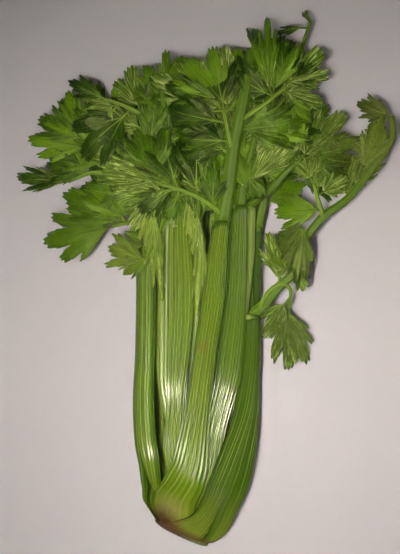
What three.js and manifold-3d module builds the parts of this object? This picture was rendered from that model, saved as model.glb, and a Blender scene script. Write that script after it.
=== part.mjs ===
// A head of celery lying on its side: a root plate, a bundle of ribbed stalks that wrap round each
// other at the foot, and on each stalk a leafy frond of lobed, toothed leaflets.
// Units are millimetres and +Z is up. The bundle lies along Y with its root at -Y and its leaves at
// +Y, and it rests on the flattened ribs of its lowest stalks at z = 0.

import * as THREE from 'three';
import { mergeVertices } from 'three/addons/utils/BufferGeometryUtils.js';
import Module from 'manifold-3d';

const wasm = await Module();
wasm.setup();

// ---------------------------------------------------------------- driving dimensions

const GAP = 0.35; // clearance that touching pieces keep
const LEAF_GAP = 0.6; // clearance cut round one frond's leaflets where another's cross them
const EDGE_ROOM = 2.5; // how many times that clearance a leaflet's rim is carried out by
const BASE_ROOM = 1.5; // and how many times it the leaflet's base is moved back by
const FOOT_Y = -199; // cut end of the stalks, where the root plate begins
const LAYER_SHARE = 0.17; // depth of one layer of stalks, as a share of the bundle's half width
const WALL_SHARE = 0.15; // thickness of a stalk, as the same share
const FLARE_THINNING = 0.2; // share of that thickness which a flared foot loses
const CROWN = 3; // how far a stalk's edges fall away from its middle
const RIB_HEIGHT = 0.8; // ridge to groove on a stalk's outer face
const FRONT_RIBS = 6; // ribs on a stalk that can be seen
const HIDDEN_RIBS = 4; // and on one under the others
const RING_SWEEP = 32; // furthest that a stalk's edge turns between two rings, in degrees
const BLADE = 0.7; // thickness of a leaf blade
const RUFFLE = 1.6; // wave height at a leaf's rim
const NECK = 1.8; // width of the small stem under a leaflet
const NECK_DEPTH = 0.7; // half its thickness
const NECK_LENGTH = 6; // least length of it
const NECK_ROOT = 0.97; // furthest place along a stem that one grows from

// The bundle from root to leaves: y, centre x, half width, half height over half width, centre z.
const BUNDLE = [
  [-205, 2, 10, 0.96, 38],
  [-199, -4.2, 18, 0.95, 38],
  [-193, -7, 25, 0.93, 38.2],
  [-186, -7.4, 30.6, 0.92, 38.4],
  [-179, -8.4, 34.6, 0.9, 38.6],
  [-172, -7.3, 38.6, 0.89, 38.8],
  [-160, -4.9, 42, 0.88, 39],
  [-143, -3.8, 44.8, 0.865, 39.2],
  [-123, -4.9, 47.5, 0.855, 39.4],
  [-93, -4.7, 48.6, 0.85, 39.5],
  [-54, -3.1, 48.4, 0.85, 39.5],
  [-16, -2.7, 48.2, 0.85, 39.5],
  [30, -2.3, 48.6, 0.85, 39.5],
  [60, -2.1, 49, 0.85, 39.5],
];

// Each stalk's course: y, then the angle round the bundle of its left and right edge (0 is +X and
// 90 is up), then how many layers it lies under the outside. The last row is its top end.
const STALKS = {
  stalk_front: [
    [-199, 165, 62, 1],
    [-193, 163, 66, 1],
    [-186, 160, 73, 1],
    [-179, 154, 79, 1],
    [-172, 151, 84, 0.7],
    [-160, 146, 80, 0.2],
    [-143, 123, 77.5, 0],
    [-123, 112, 80, 0],
    [-93, 100, 74, 0],
    [-54, 94.5, 71.5, 0],
    [-16, 87, 63.5, 0],
    [30, 80, 60.5, 0],
    [44, 75, 59.5, 0],
  ],
  stalk_front_right: [
    [-199, 168, 42, 0],
    [-193, 166, 45, 0],
    [-186, 157, 49, 0],
    [-179, 92, 50, 0],
    [-172, 82, 50, 0],
    [-160, 78, 51, 0],
    [-143, 71, 43, 0],
    [-123, 59, 34.5, 0],
    [-93, 44, 16, 0],
    [-54, 37, 8.5, 0],
    [-27, 34, 11, 0],
  ],
  stalk_front_left: [
    [-199, 170, 72, 3],
    [-186, 168, 80, 3],
    [-172, 155, 92, 3],
    [-160, 142, 100, 2.4],
    [-143, 131, 110, 1.3],
    [-123, 129.5, 113.5, 0.6],
    [-93, 124, 101.5, 0.1],
    [-54, 121.5, 96.5, 0],
    [-16, 121, 93, 0],
    [30, 121, 99, 0],
    [52, 120, 101, 0],
  ],
  stalk_left: [
    [-199, 196, 120, 2],
    [-186, 192, 126, 2],
    [-179, 184, 135, 2],
    [-172, 176, 148, 1.6],
    [-160, 171, 147.5, 1.05],
    [-143, 166, 132.5, 0.15],
    [-123, 165, 131, 0],
    [-93, 165, 129, 0],
    [-54, 165, 133, 0],
    [-16, 165, 133, 0],
    [38, 162, 136, 0],
  ],
  stalk_right_upper: [
    [-199, 108, 32, 2],
    [-186, 105, 36, 2],
    [-172, 98, 45, 2],
    [-160, 90, 52, 1.6],
    [-143, 83, 56, 1.25],
    [-123, 78, 60.5, 0.7],
    [-93, 72.5, 46, 0.1],
    [-54, 69.5, 39, 0],
    [-16, 61.5, 36, 0],
    [30, 58.5, 35, 0],
    [56, 56, 38, 0],
  ],
  stalk_right: [
    [-199, 39, -38, 0],
    [-186, 46, -30, 0],
    [-172, 47.5, -20, 0],
    [-160, 48, -12, 0],
    [-143, 41, -8, 0],
    [-123, 32.5, -8, 0],
    [-93, 14, -20, 0],
    [-54, 6.5, -22, 0],
    [40, 4, -20, 0],
  ],
  stalk_back_right: [
    [-199, 28, -58, 1],
    [-186, 12, -60, 1],
    [-172, 0, -60, 1],
    [-160, -10, -58, 1],
    [-143, -10.5, -55, 0.6],
    [-123, -10, -46.5, 0],
    [-93, -22.5, -56, 0],
    [44, -25, -55, 0],
  ],
  stalk_under_right: [
    [-199, -42, -117, 0],
    [-186, -44, -115, 0],
    [-172, -48, -111, 0],
    [-160, -56, -107, 0],
    [-143, -57, -97, 0],
    [-123, -48.5, -82, 0],
    [-93, -58, -90, 0],
    [47, -59, -89, 0],
  ],
  stalk_under: [
    [-199, -62, -128, 1],
    [-186, -66, -128, 1],
    [-172, -76, -126, 1],
    [-160, -84, -124, 1],
    [-143, -99, -123, 0.8],
    [-123, -84.5, -122, 0],
    [-93, -92, -123.5, 0],
    [50, -92, -122, 0],
  ],
  stalk_under_left: [
    [-199, -132, -192, 1],
    [-186, -132, -190, 1],
    [-172, -130, -184, 1],
    [-160, -128, -177, 1],
    [-143, -125.5, -151, 1],
    [-123, -124, -158, 0],
    [-93, -125.5, -158.5, 0],
    [46, -126, -157, 0],
  ],
  stalk_back_left: [
    [-199, -121, -189, 0],
    [-186, -119, -196, 0],
    [-172, -118, -196, 0],
    [-160, -124, -196, 0],
    [-143, -153, -193, 0],
    [-123, -160, -193, 0],
    [-93, -160.5, -193, 0],
    [42, -161, -191, 0],
  ],
  inner_right: [
    [-199, 58, -40, 3],
    [-172, 48, -30, 3],
    [-160, 44, -20, 3],
    [-143, 40, -8, 2.5],
    [-123, 35, -5, 1.7],
    [-93, 30, 2, 1.2],
    [-40, 28, 5, 1.2],
    [15, 32, 8, 0.5],
    [56, 31, 12, 0.4],
  ],
  inner_under: [
    [-199, -50, -168, 3],
    [-160, -60, -150, 3],
    [-123, -70, -115, 2],
    [-93, -75, -108, 1.2],
    [55, -78, -106, 1.2],
  ],
  inner_left: [
    [-199, 183, 110, 4],
    [-172, 175, 115, 4],
    [-160, 170, 120, 3.6],
    [-143, 155, 122, 2.6],
    [-123, 145, 121, 1.8],
    [-93, 140, 121, 1.2],
    [45, 139, 123, 1.1],
  ],
  inner_front: [
    [-199, 92, 5, 4],
    [-172, 98, 30, 4],
    [-160, 100, 50, 3.8],
    [-143, 102, 70, 2.9],
    [-123, 102, 78, 1.9],
    [-93, 100, 79, 1.25],
    [-16, 98, 80, 1.15],
    [19, 95, 81, 1.15],
  ],
};

// ---------------------------------------------------------------- small helpers

const radians = THREE.MathUtils.degToRad;
const lerp = THREE.MathUtils.lerp;

// A column of a table at y: a cubic that never overshoots the rows on either side.
function keyed(rows, column, y) {
  const last = rows.length - 1;
  if (y <= rows[0][0]) return rows[0][column];
  if (y >= rows[last][0]) return rows[last][column];
  const slope = (i) => (rows[i + 1][column] - rows[i][column]) / (rows[i + 1][0] - rows[i][0]);
  const tangent = (i) => {
    if (i === 0 || i === last) return 0;
    const before = slope(i - 1);
    const after = slope(i);
    return before * after <= 0 ? 0 : (2 * before * after) / (before + after);
  };
  let i = 0;
  while (rows[i + 1][0] < y) i += 1;
  const span = rows[i + 1][0] - rows[i][0];
  const t = (y - rows[i][0]) / span;
  const rise = rows[i + 1][column] - rows[i][column];
  const bend = t * (1 - t) * span * ((1 - t) * (tangent(i) - rise / span) - t * (tangent(i + 1) - rise / span));
  return rows[i][column] + rise * t + bend;
}

// The bundle's cross-section at y.
function bundleAt(y) {
  return {
    x: keyed(BUNDLE, 1, y),
    half: keyed(BUNDLE, 2, y),
    flat: keyed(BUNDLE, 3, y),
    z: keyed(BUNDLE, 4, y),
  };
}

// A point at an angle round the bundle, so deep under its outside.
function inBundle(section, y, angle, depth) {
  const across = section.half - depth;
  const up = section.half * section.flat - depth;
  return [section.x + across * Math.cos(angle), y, section.z + up * Math.sin(angle)];
}

// A closed surface through rings of points that all have the same count, with flat ends.
function loft(rings) {
  const count = rings[0].length;
  const points = rings.flat();
  const faces = [];
  for (let r = 0; r + 1 < rings.length; r += 1) {
    for (let i = 0; i < count; i += 1) {
      const a = r * count + i;
      const b = r * count + ((i + 1) % count);
      faces.push([a, b, b + count], [a, b + count, a + count]);
    }
  }
  const ends = [rings[0], rings[rings.length - 1]];
  const starts = [0, (rings.length - 1) * count];
  ends.forEach((ring, side) => {
    const normal = side === 0 ? -1 : 1;
    for (const [a, b, c] of fillRing(ring)) {
      const face = [starts[side] + a, starts[side] + b, starts[side] + c];
      faces.push(normal > 0 ? face : face.reverse());
    }
  });
  return { points, faces };
}

// Triangles that fill a ring, found in the plane that the ring lies closest to.
function fillRing(ring) {
  const corners = ring.map((p) => new THREE.Vector3(...p));
  const normal = new THREE.Vector3();
  corners.forEach((p, i) => normal.add(p.clone().cross(corners[(i + 1) % corners.length])));
  normal.normalize();
  const right = new THREE.Vector3(1, 0, 0);
  if (Math.abs(normal.x) > 0.8) right.set(0, 1, 0);
  right.cross(normal).normalize();
  const up = normal.clone().cross(right);
  const flat = corners.map((p) => new THREE.Vector2(p.dot(right), p.dot(up)));
  return THREE.ShapeUtils.triangulateShape(flat, []);
}

function solid({ points, faces }) {
  const mesh = new wasm.Mesh({
    numProp: 3,
    vertProperties: Float32Array.from(points.flat()),
    triVerts: Uint32Array.from(faces.flat()),
  });
  const body = new wasm.Manifold(mesh);
  if (body.volume() > 0) return body;
  return solid({ points, faces: faces.map((face) => [...face].reverse()) });
}

function fuse(bodies) {
  return bodies.reduce((whole, body) => whole.add(body));
}

function largest(body) {
  return body.decompose().sort((a, b) => b.volume() - a.volume())[0];
}

// ---------------------------------------------------------------- stalks

// The crescent section of a stalk at y. Points run over its outer face from the left edge to the
// right one, then back along its hollow inner face. Ribs stand on the outer face.
function stalkRing(course, y, ribs, extra = 0) {
  const section = bundleAt(y);
  const left = radians(keyed(course, 1, y));
  const right = radians(keyed(course, 2, y));
  const depth = keyed(course, 3, y) * LAYER_SHARE * section.half - extra;
  const flare = THREE.MathUtils.clamp((left - right - 0.8) / 1.2, 0, 1);
  const wall = WALL_SHARE * section.half * (1 - FLARE_THINNING * flare) + 2 * extra;
  const spare = (2 * extra) / section.half;
  const width = (left - right) / 2 + spare;
  const crown = CROWN * Math.min(1, section.half / 45);
  const rib = RIB_HEIGHT * Math.min(1, wall / 7);
  const ring = [];
  const place = (u, under) => {
    const angle = (left + right) / 2 - u * width;
    const [x, , z] = inBundle(section, y, angle, depth + under);
    ring.push([x, y, Math.max(z, 0)]);
  };
  const steps = ribs * 2;
  for (let i = 0; i <= steps; i += 1) {
    const u = (2 * i) / steps - 1;
    const edge = i === 0 || i === steps;
    place(u, edge ? crown + wall * 0.28 : crown * u * u + (i % 2 ? 0 : rib));
  }
  for (const u of [0.93, 0.5, 0, -0.5, -0.93]) {
    place(u, wall - Math.max(0, 1 - u * u) * 0.01 * wall);
  }
  return ring;
}

// Where a stalk's rings stand: at each row of its course, and closer where an edge sweeps round.
function stalkLevels(course) {
  const levels = [course[0][0]];
  for (let i = 1; i < course.length; i += 1) {
    const sweep = Math.max(...[1, 2].map((side) => Math.abs(course[i][side] - course[i - 1][side])));
    const steps = Math.ceil(sweep / RING_SWEEP);
    for (let k = 1; k <= Math.max(steps, 1); k += 1) {
      levels.push(lerp(course[i - 1][0], course[i][0], k / Math.max(steps, 1)));
    }
  }
  return levels;
}

// ---------------------------------------------------------------- leaflets

// Half of a leaflet's rim, from its tip to its base: angle from the midrib, then the distance from
// the base over the leaflet's length. Far points are teeth and lobes, near ones the cuts between.
const RIMS = {
  broad: [
    [0, 1],
    [6, 0.84],
    [12, 0.93],
    [18, 0.6],
    [26, 0.88],
    [32, 0.78],
    [38, 0.84],
    [47, 0.54],
    [55, 0.6],
    [63, 0.36],
  ],
  long: [
    [0, 1],
    [7, 0.8],
    [13, 0.87],
    [20, 0.58],
    [29, 0.76],
    [38, 0.54],
    [47, 0.6],
    [60, 0.3],
  ],
  plain: [
    [0, 1],
    [10, 0.76],
    [19, 0.84],
    [30, 0.56],
    [42, 0.68],
    [58, 0.34],
  ],
};

// A leaflet's own surface over its flat outline: u runs from base to tip and v to the side. It
// arches along its length, folds up along the midrib and waves at its rim.
function leafHeight(leaf, u, v) {
  const reach = Math.hypot(u, v) / leaf.length;
  const turn = Math.atan2(v, u);
  const arch = 4 * leaf.arch * (u / leaf.length) * (1 - u / leaf.length);
  const lift = (Math.sqrt(v * v + 4) - 2) * Math.sin(leaf.fold);
  return arch + lift + RUFFLE * reach * reach * Math.sin(5 * turn + leaf.phase);
}

function leafPoint(leaf, u, v, offset) {
  const step = 0.5;
  const height = leafHeight(leaf, u, v);
  const slopeU = (leafHeight(leaf, u + step, v) - height) / step;
  const slopeV = (leafHeight(leaf, u, v + step) - leafHeight(leaf, u, v - step)) / (2 * step);
  const normal = new THREE.Vector3(-slopeU, -slopeV, 1).normalize().multiplyScalar(offset);
  const narrow = Math.cos(leaf.fold);
  const point = leaf.base.clone();
  point.addScaledVector(leaf.along, u + normal.x);
  point.addScaledVector(leaf.side, (v + normal.y) * narrow);
  point.addScaledVector(leaf.up, height + normal.z);
  point.z = Math.max(point.z, leaf.floor + offset);
  return point.toArray();
}

// Where a leaflet lies: from base to tip, rolled about that line, with its folds and waves.
function leafFrame(row) {
  const base = new THREE.Vector3(...row.base);
  const along = new THREE.Vector3(...row.tip).sub(base);
  const length = along.length();
  along.normalize();
  const side = new THREE.Vector3(0, 0, 1).cross(along).normalize();
  side.applyAxisAngle(along, radians(row.roll ?? 0));
  const up = along.clone().cross(side);
  const phase = row.base[0] + row.tip[1];
  return {
    base,
    along,
    side,
    up,
    length,
    phase,
    floor: BLADE / 2,
    fold: radians(row.fold ?? 12),
    arch: (row.arch ?? 0.08) * length,
    spread: row.spread ?? 1,
  };
}

// A leaflet on its own small stem, as one thin solid: a fan from the leaflet's neck to each point of
// its rim, and a flat strip from the neck back to the stem that it grows from.
function leaflet(row, from, extra = 0) {
  const leaf = leafFrame(row);
  const half = RIMS[row.kind ?? 'long'];
  const rim = [...half.slice(1).reverse().map(([angle, reach]) => [-angle, reach]), ...half];
  const neck = NECK / 2 + extra;
  const outline = (offset) => {
    const root = (side) => from.clone().addScaledVector(leaf.side, side * neck);
    const level = (point) => point.addScaledVector(leaf.up, offset * (NECK_DEPTH + extra)).toArray();
    const edge = rim.map(([angle, reach]) => {
      const turn = radians(angle) * leaf.spread;
      const far = (leaf.length + EDGE_ROOM * extra) * reach;
      const u = far * Math.cos(turn) - BASE_ROOM * extra;
      return leafPoint(leaf, u, far * Math.sin(turn), offset * (BLADE / 2 + extra));
    });
    const shoulder = (side) => leafPoint(leaf, 0, side * neck, offset * (NECK_DEPTH + extra));
    return [level(root(-1)), shoulder(-1), ...edge, shoulder(1), level(root(1))];
  };
  const points = [...outline(1), ...outline(-1)];
  const count = rim.length + 4;
  const tip = 2 + (rim.length - 1) / 2;
  const right = 1;
  const left = count - 2;
  const top = [[0, right, left], [0, left, count - 1], [right, tip, left]];
  for (let i = 2; i < tip; i += 1) top.push([right, i, i + 1]);
  for (let i = tip; i < count - 3; i += 1) top.push([left, i, i + 1]);
  const faces = [...top, ...top.map(([a, b, c]) => [a + count, c + count, b + count])];
  for (let i = 0; i < count; i += 1) {
    const next = (i + 1) % count;
    faces.push([i, i + count, next + count], [i, next + count, next]);
  }
  return solid({ points, faces });
}

// ---------------------------------------------------------------- stems

// A tube through hand-placed points. Its first ring can stand square to Y, to meet a stalk's end.
function tube(path, sizes, { sides, steps, squareStart = false }) {
  const curve = new THREE.CatmullRomCurve3(path.map((p) => new THREE.Vector3(...p)));
  const rings = [];
  for (let i = 0; i <= steps; i += 1) {
    const f = i / steps;
    const centre = curve.getPoint(f);
    const tangent = curve.getTangent(f);
    if (i === 0 && squareStart) tangent.set(0, 1, 0);
    const side = tangent.clone().cross(new THREE.Vector3(0, 0, 1));
    if (side.length() < 0.2) side.set(1, 0, 0);
    side.normalize();
    const up = side.clone().cross(tangent);
    const [wide, high] = sizes(f);
    const ring = [];
    for (let k = 0; k < sides; k += 1) {
      const angle = (2 * Math.PI * (k + 0.5)) / sides;
      const point = centre.clone();
      point.addScaledVector(side, wide * Math.cos(angle));
      point.addScaledVector(up, high * Math.sin(angle));
      point.z = Math.max(point.z, 0.2);
      ring.push(point.toArray());
    }
    rings.push(ring);
  }
  return { body: solid(loft(rings)), curve };
}

// ---------------------------------------------------------------- fronds

const leaf = (at, base, tip, look = {}) => ({ at, base, tip, ...look });

// Each frond carries on from the top of the stalk of the same name: the points of its stem, the half
// width and half height that it starts with, the leaflets on it, and side stems with leaflets of
// their own. A leaflet has its place along the stem from 0 to 1, then its base and its tip.
const FRONDS = {
  frond_front: {
    stem: [[20, 71, 80], [24.5, 105, 85], [29.6, 128, 87], [34, 151, 86], [37, 173, 80]],
    start: [5.8, 3.3],
    leaves: [
      leaf(1, [38, 176, 78], [43, 188, 54], { kind: 'plain', roll: 10 }),
    ],
    branches: [
      {
        stem: [[14.5, 49, 76], [3, 58, 81], [-12, 65.5, 83], [-34, 72, 83]],
        leaves: [
          leaf(1, [-37, 73, 83], [-86, 96, 70], { kind: 'broad', roll: 176 }),
          leaf(0.8, [-30, 66, 82], [-72, 62, 70], { kind: 'long', roll: 170, spread: 0.8 }),
        ],
      },
      {
        stem: [[22.5, 98, 85], [19.5, 110, 88], [16, 127, 89]],
        leaves: [
          leaf(1, [12, 130, 89], [-38, 154, 80], { kind: 'broad', roll: 184, spread: 0.72 }),
          leaf(0.9, [19, 131, 89], [15, 176, 83], { kind: 'broad', roll: 176, spread: 0.85 }),
        ],
      },
      {
        stem: [[31, 120, 86], [45.6, 130, 89], [55.5, 137.6, 90], [63, 144, 89]],
        leaves: [
          leaf(1, [67, 148, 89], [92, 174, 78], { kind: 'broad', roll: 178 }),
          leaf(0.85, [64, 141, 88], [93, 132, 74], { kind: 'broad', roll: 172 }),
          leaf(0.6, [50, 144, 90], [49, 197, 78], { kind: 'broad', spread: 0.65 }),
        ],
      },
    ],
  },
  frond_front_right: {
    stem: [
      [50, -16, 59], [56, -8, 63], [67, 3, 67], [72, 13, 70], [78, 30, 73], [91, 47, 75],
      [109, 60, 75], [128, 83, 74], [139, 98, 72], [144, 109, 70], [143, 123, 66],
    ],
    start: [4.2, 3.2],
    leaves: [
      leaf(1, [140, 124, 66], [115, 134, 58], { kind: 'long', spread: 0.9 }),
      leaf(0.9, [137, 105, 73], [124, 119, 66], { kind: 'plain', roll: 178 }),
      leaf(0.83, [130, 94, 75], [111, 102, 66], { kind: 'long', roll: 184 }),
      leaf(0.56, [86, 52, 78], [51, 51, 62], { kind: 'long', spread: 0.85, roll: -6 }),
      leaf(0.48, [75, 38, 75], [58, 21, 60], { kind: 'long', roll: 6 }),
      leaf(0.36, [75, 17, 71], [78, -12, 56], { kind: 'plain', roll: 180, spread: 0.8, fold: 30 }),
      leaf(0.2, [58, 1, 67], [60, 29, 60], { kind: 'long', spread: 0.8, roll: 178 }),
    ],
    branches: [
      {
        stem: [[91, 48, 76], [87, 60, 80], [84, 72, 81]],
        leaves: [
          leaf(1, [83, 75, 81], [71, 94, 75], { kind: 'long', roll: 178, spread: 1.1 }),
          leaf(0.6, [91, 66, 80], [112, 78, 75], { kind: 'long', roll: 182 }),
        ],
      },
      {
        stem: [[44, -22, 58], [51, -9, 65], [60, -3.5, 68], [67, -8, 62], [66, -22, 50]],
        leaves: [
          leaf(1, [66, -26, 46], [69, -73, 6], { kind: 'broad', roll: 180, spread: 0.6 }),
          leaf(0.85, [62, -20, 52], [46, -47, 22], { kind: 'long', roll: 180, spread: 0.9 }),
        ],
      },
    ],
  },
  frond_inner_front: {
    stem: [[-1.5, 35, 70], [-3, 50, 73], [1, 75, 75], [8, 95, 79], [13, 102, 80]],
    start: [3, 2.6],
    leaves: [
      leaf(1, [9, 106, 80], [-22, 112, 75], { kind: 'broad', spread: 0.9 }),
      leaf(0.6, [6, 66, 77], [10, 90, 76], { kind: 'long', spread: 1.1 }),
      leaf(0.5, [-5, 64, 77], [-14, 96, 76], { kind: 'long', roll: 180, fold: 25 }),
      leaf(0.1, [-3.4, 17, 72], [-3, -31, 72.5], { kind: 'plain', roll: 180, spread: 0.12, fold: 20 }),
    ],
    branches: [],
  },
  frond_inner_left: {
    stem: [[-32, 70, 66], [-39, 95, 71], [-44, 115, 75], [-47, 127, 76]],
    start: [4, 3],
    leaves: [
      leaf(1, [-48, 131, 76], [-55, 162, 68], { kind: 'broad', roll: 182 }),
      leaf(0.7, [-38, 108, 77], [-34, 142, 77], { kind: 'long', spread: 0.9 }),
      leaf(0.4, [-43, 88, 72], [-60, 112, 70], { kind: 'long' }),
    ],
    branches: [
      {
        stem: [[-46, 124, 77], [-60, 131, 78], [-72, 135, 76]],
        leaves: [
          leaf(1, [-77, 136, 75], [-102, 149, 60], { kind: 'long', spread: 0.8, fold: 25 }),
          leaf(0.6, [-68, 130, 77], [-94, 122, 66], { kind: 'long', roll: 176 }),
        ],
      },
      {
        stem: [[-28, 50, 63], [-32, 36, 71], [-37, 20, 73.5], [-41, 13, 71]],
        leaves: [
          leaf(1, [-45, 12, 70], [-74, 24, 56], { kind: 'broad', spread: 0.85 }),
        ],
      },
    ],
  },
  frond_left: {
    stem: [[-48, 52, 62], [-60, 70, 65], [-72, 86, 64], [-84, 100, 62], [-93, 111, 58]],
    start: [5.2, 3.2],
    leaves: [
      leaf(1, [-96, 115, 57], [-108, 136, 48], { kind: 'long' }),
      leaf(0.9, [-95, 108, 60], [-128, 125, 44], { kind: 'long', spread: 0.8 }),
      leaf(0.8, [-87, 99, 63], [-132, 107, 44], { kind: 'broad', spread: 0.65 }),
      leaf(0.72, [-76, 98, 65], [-84, 138, 62], { kind: 'broad', spread: 0.85 }),
      leaf(0.35, [-62, 64, 66], [-92, 66, 52], { kind: 'long', spread: 1.2 }),
    ],
    branches: [
      {
        stem: [[-44, 43, 61], [-56, 42.5, 60], [-68, 40, 56]],
        leaves: [
          leaf(1, [-72, 38.5, 54], [-121, 29, 32], { kind: 'broad', roll: -4 }),
          leaf(0.6, [-62, 46, 60], [-108, 65, 44], { kind: 'long', spread: 0.85, roll: 6 }),
        ],
      },
      {
        stem: [[-68, 81, 65], [-86, 80, 62], [-101, 74, 55]],
        leaves: [
          leaf(1, [-105, 73, 54], [-144, 77, 38], { kind: 'long', spread: 0.8, fold: 45 }),
          leaf(0.5, [-90, 84, 61], [-122, 88, 46], { kind: 'long' }),
        ],
      },
    ],
  },
  frond_front_left: {
    stem: [[-21, 75, 76], [-26, 100, 77], [-29, 125, 78], [-30, 142, 76]],
    start: [4.6, 3.2],
    leaves: [
      leaf(1, [-28, 146, 76], [-12, 170, 68], { kind: 'broad' }),
      leaf(0.9, [-33, 140, 77], [-44, 164, 68], { kind: 'long' }),
      leaf(0.6, [-21, 110, 75], [-4, 138, 69], { kind: 'long', roll: 178, spread: 0.9 }),
      leaf(0.4, [-30, 92, 76], [-54, 86, 74], { kind: 'long', roll: 178, spread: 0.8 }),
    ],
    branches: [],
  },
  frond_right_upper: {
    stem: [[32, 75, 71], [37, 95, 73], [43, 115, 74], [50, 135, 73], [54, 152, 69]],
    start: [4.2, 3.2],
    leaves: [
      leaf(1, [55, 156, 68], [58, 187, 56], { kind: 'broad' }),
      leaf(0.7, [42, 130, 74], [30, 166, 68], { kind: 'broad', roll: 176, spread: 0.8 }),
      leaf(0.55, [48, 112, 77], [84, 121, 74], { kind: 'broad', spread: 0.9 }),
      leaf(0.2, [38, 76, 76], [66, 119, 82], { kind: 'broad', roll: 180, spread: 0.72 }),
      leaf(0.25, [28, 84, 73], [14, 118, 68], { kind: 'long' }),
    ],
    branches: [],
  },
  frond_inner_right: {
    stem: [[44, 62, 59], [52, 68, 66], [60, 77, 71], [68, 85, 73], [76, 91, 73]],
    start: [3.6, 2.8],
    leaves: [
      leaf(1, [81, 92, 72], [126, 86, 56], { kind: 'broad', spread: 0.85 }),
      leaf(0.95, [80, 97, 73], [109, 128, 60], { kind: 'broad', roll: 178, spread: 0.8 }),
      leaf(0.8, [75, 83, 72], [112, 68, 58], { kind: 'long', spread: 0.9 }),
      leaf(0.7, [71, 92, 70], [76, 124, 58], { kind: 'broad', roll: 178, spread: 0.8 }),
    ],
    branches: [],
  },
  frond_right: {
    stem: [[47, 60, 38], [53, 85, 42], [61, 110, 44], [69, 128, 42]],
    start: [4.6, 3.2],
    leaves: [
      leaf(0.8, [70, 112, 46], [98, 132, 38], { kind: 'long' }),
      leaf(0.45, [60, 86, 43], [92, 102, 32], { kind: 'long' }),
      leaf(0.2, [53, 60, 39], [80, 74, 26], { kind: 'plain' }),
    ],
    branches: [
      {
        stem: [[66, 120, 43], [70, 145, 50], [74, 170, 54], [80, 188, 54], [83, 197, 52]],
        leaves: [
          leaf(0.82, [73, 191, 55], [56, 187, 46], { kind: 'long', spread: 0.5, fold: 25 }),
          leaf(1, [82, 198, 52], [78, 205, 50], { kind: 'plain' }),
          leaf(0.3, [76, 144, 52], [88, 166, 48], { kind: 'plain' }),
        ],
      },
    ],
  },
  frond_back_left: {
    stem: [[-54, 65, 39], [-62, 90, 38], [-70, 115, 36], [-75, 130, 34]],
    start: [4.6, 3.2],
    leaves: [
      leaf(1, [-77, 134, 34], [-92, 154, 28], { kind: 'long' }),
      leaf(0.75, [-64, 116, 40], [-62, 154, 42], { kind: 'long' }),
      leaf(0.25, [-62, 68, 40], [-94, 56, 22], { kind: 'plain' }),
    ],
    branches: [],
  },
  frond_back_right: {
    stem: [[38, 70, 16], [44, 95, 14], [49, 115, 12]],
    start: [4.6, 3.2],
    leaves: [
      leaf(1, [51, 119, 12], [62, 152, 5], { kind: 'plain' }),
      leaf(0.6, [51, 98, 14], [88, 114, 8], { kind: 'plain' }),
      leaf(0.3, [46, 74, 16], [76, 80, 8], { kind: 'plain' }),
    ],
    branches: [],
  },
  frond_under_left: {
    stem: [[-41, 70, 16], [-45, 95, 14], [-48, 115, 12]],
    start: [4.8, 3.2],
    leaves: [
      leaf(1, [-50, 119, 12], [-58, 152, 5], { kind: 'plain' }),
      leaf(0.55, [-52, 96, 15], [-86, 108, 8], { kind: 'plain' }),
      leaf(0.3, [-49, 72, 16], [-80, 66, 8], { kind: 'plain' }),
    ],
    branches: [],
  },
  frond_under: {
    stem: [[-16, 75, 7], [-18, 100, 7], [-19, 120, 6]],
    start: [4.8, 3],
    leaves: [
      leaf(1, [-19, 125, 6], [-24, 160, 4], { kind: 'plain' }),
      leaf(0.5, [-22, 90, 7], [-42, 114, 4], { kind: 'plain' }),
    ],
    branches: [],
  },
  frond_under_right: {
    stem: [[13, 75, 7], [16, 100, 7], [19, 120, 6]],
    start: [4.8, 3],
    leaves: [
      leaf(1, [20, 125, 6], [27, 162, 4], { kind: 'plain' }),
      leaf(0.5, [20, 90, 7], [42, 112, 4], { kind: 'plain' }),
    ],
    branches: [],
  },
  frond_inner_under: {
    stem: [[-2, 80, 24], [-1, 105, 29], [0, 126, 31]],
    start: [4.2, 2.8],
    leaves: [
      leaf(1, [0, 131, 31], [2, 168, 28], { kind: 'plain' }),
      leaf(0.6, [-7, 104, 29], [-38, 130, 26], { kind: 'plain' }),
      leaf(0.7, [6, 112, 30], [40, 136, 28], { kind: 'plain' }),
    ],
    branches: [],
  },
};

// The middle of a stalk's top end.
function stalkTop(course) {
  const [y, left, right, layer] = course[course.length - 1];
  const section = bundleAt(y);
  const depth = (layer * LAYER_SHARE + WALL_SHARE / 2) * section.half;
  return inBundle(section, y, radians((left + right) / 2), depth);
}

// The stems of a frond and, apart from them, its leaflets. Both can be made a little larger, to cut
// room for this frond out of another.
function frondParts(spec, top, extra = 0) {
  const stems = [];
  const blades = [];
  const grow = (path, sizes, shape, leaves) => {
    const { body, curve } = tube(path, sizes, shape);
    stems.push(body);
    for (const row of leaves) {
      const from = curve.getPoint(Math.min(row.at, NECK_ROOT));
      const base = new THREE.Vector3(...row.base);
      const tip = new THREE.Vector3(...row.tip);
      if (from.distanceTo(base) < NECK_LENGTH) {
        base.copy(from).addScaledVector(tip.clone().sub(from).normalize(), NECK_LENGTH);
      }
      blades.push(leaflet({ ...row, base: base.toArray() }, from, extra));
    }
  };
  const [wide, high] = spec.start;
  const main = (f) => {
    const taper = Math.min(1, f / 0.4);
    return [lerp(wide, 2.6, taper) - 0.8 * f + extra, lerp(high, 2.4, taper) - 0.6 * f + extra];
  };
  const slim = (f) => [2 - 0.6 * f + extra, 1.8 - 0.6 * f + extra];
  const [x, y, z] = top;
  const path = [[x, y + (extra ? 0 : GAP), z], ...spec.stem];
  grow(path, main, { sides: 6, steps: path.length + 1, squareStart: true }, spec.leaves);
  for (const branch of spec.branches) {
    grow(branch.stem, slim, { sides: 5, steps: branch.stem.length }, branch.leaves);
  }
  return { stems: fuse(stems), blades: fuse(blades) };
}

// ---------------------------------------------------------------- root and heart

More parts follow.
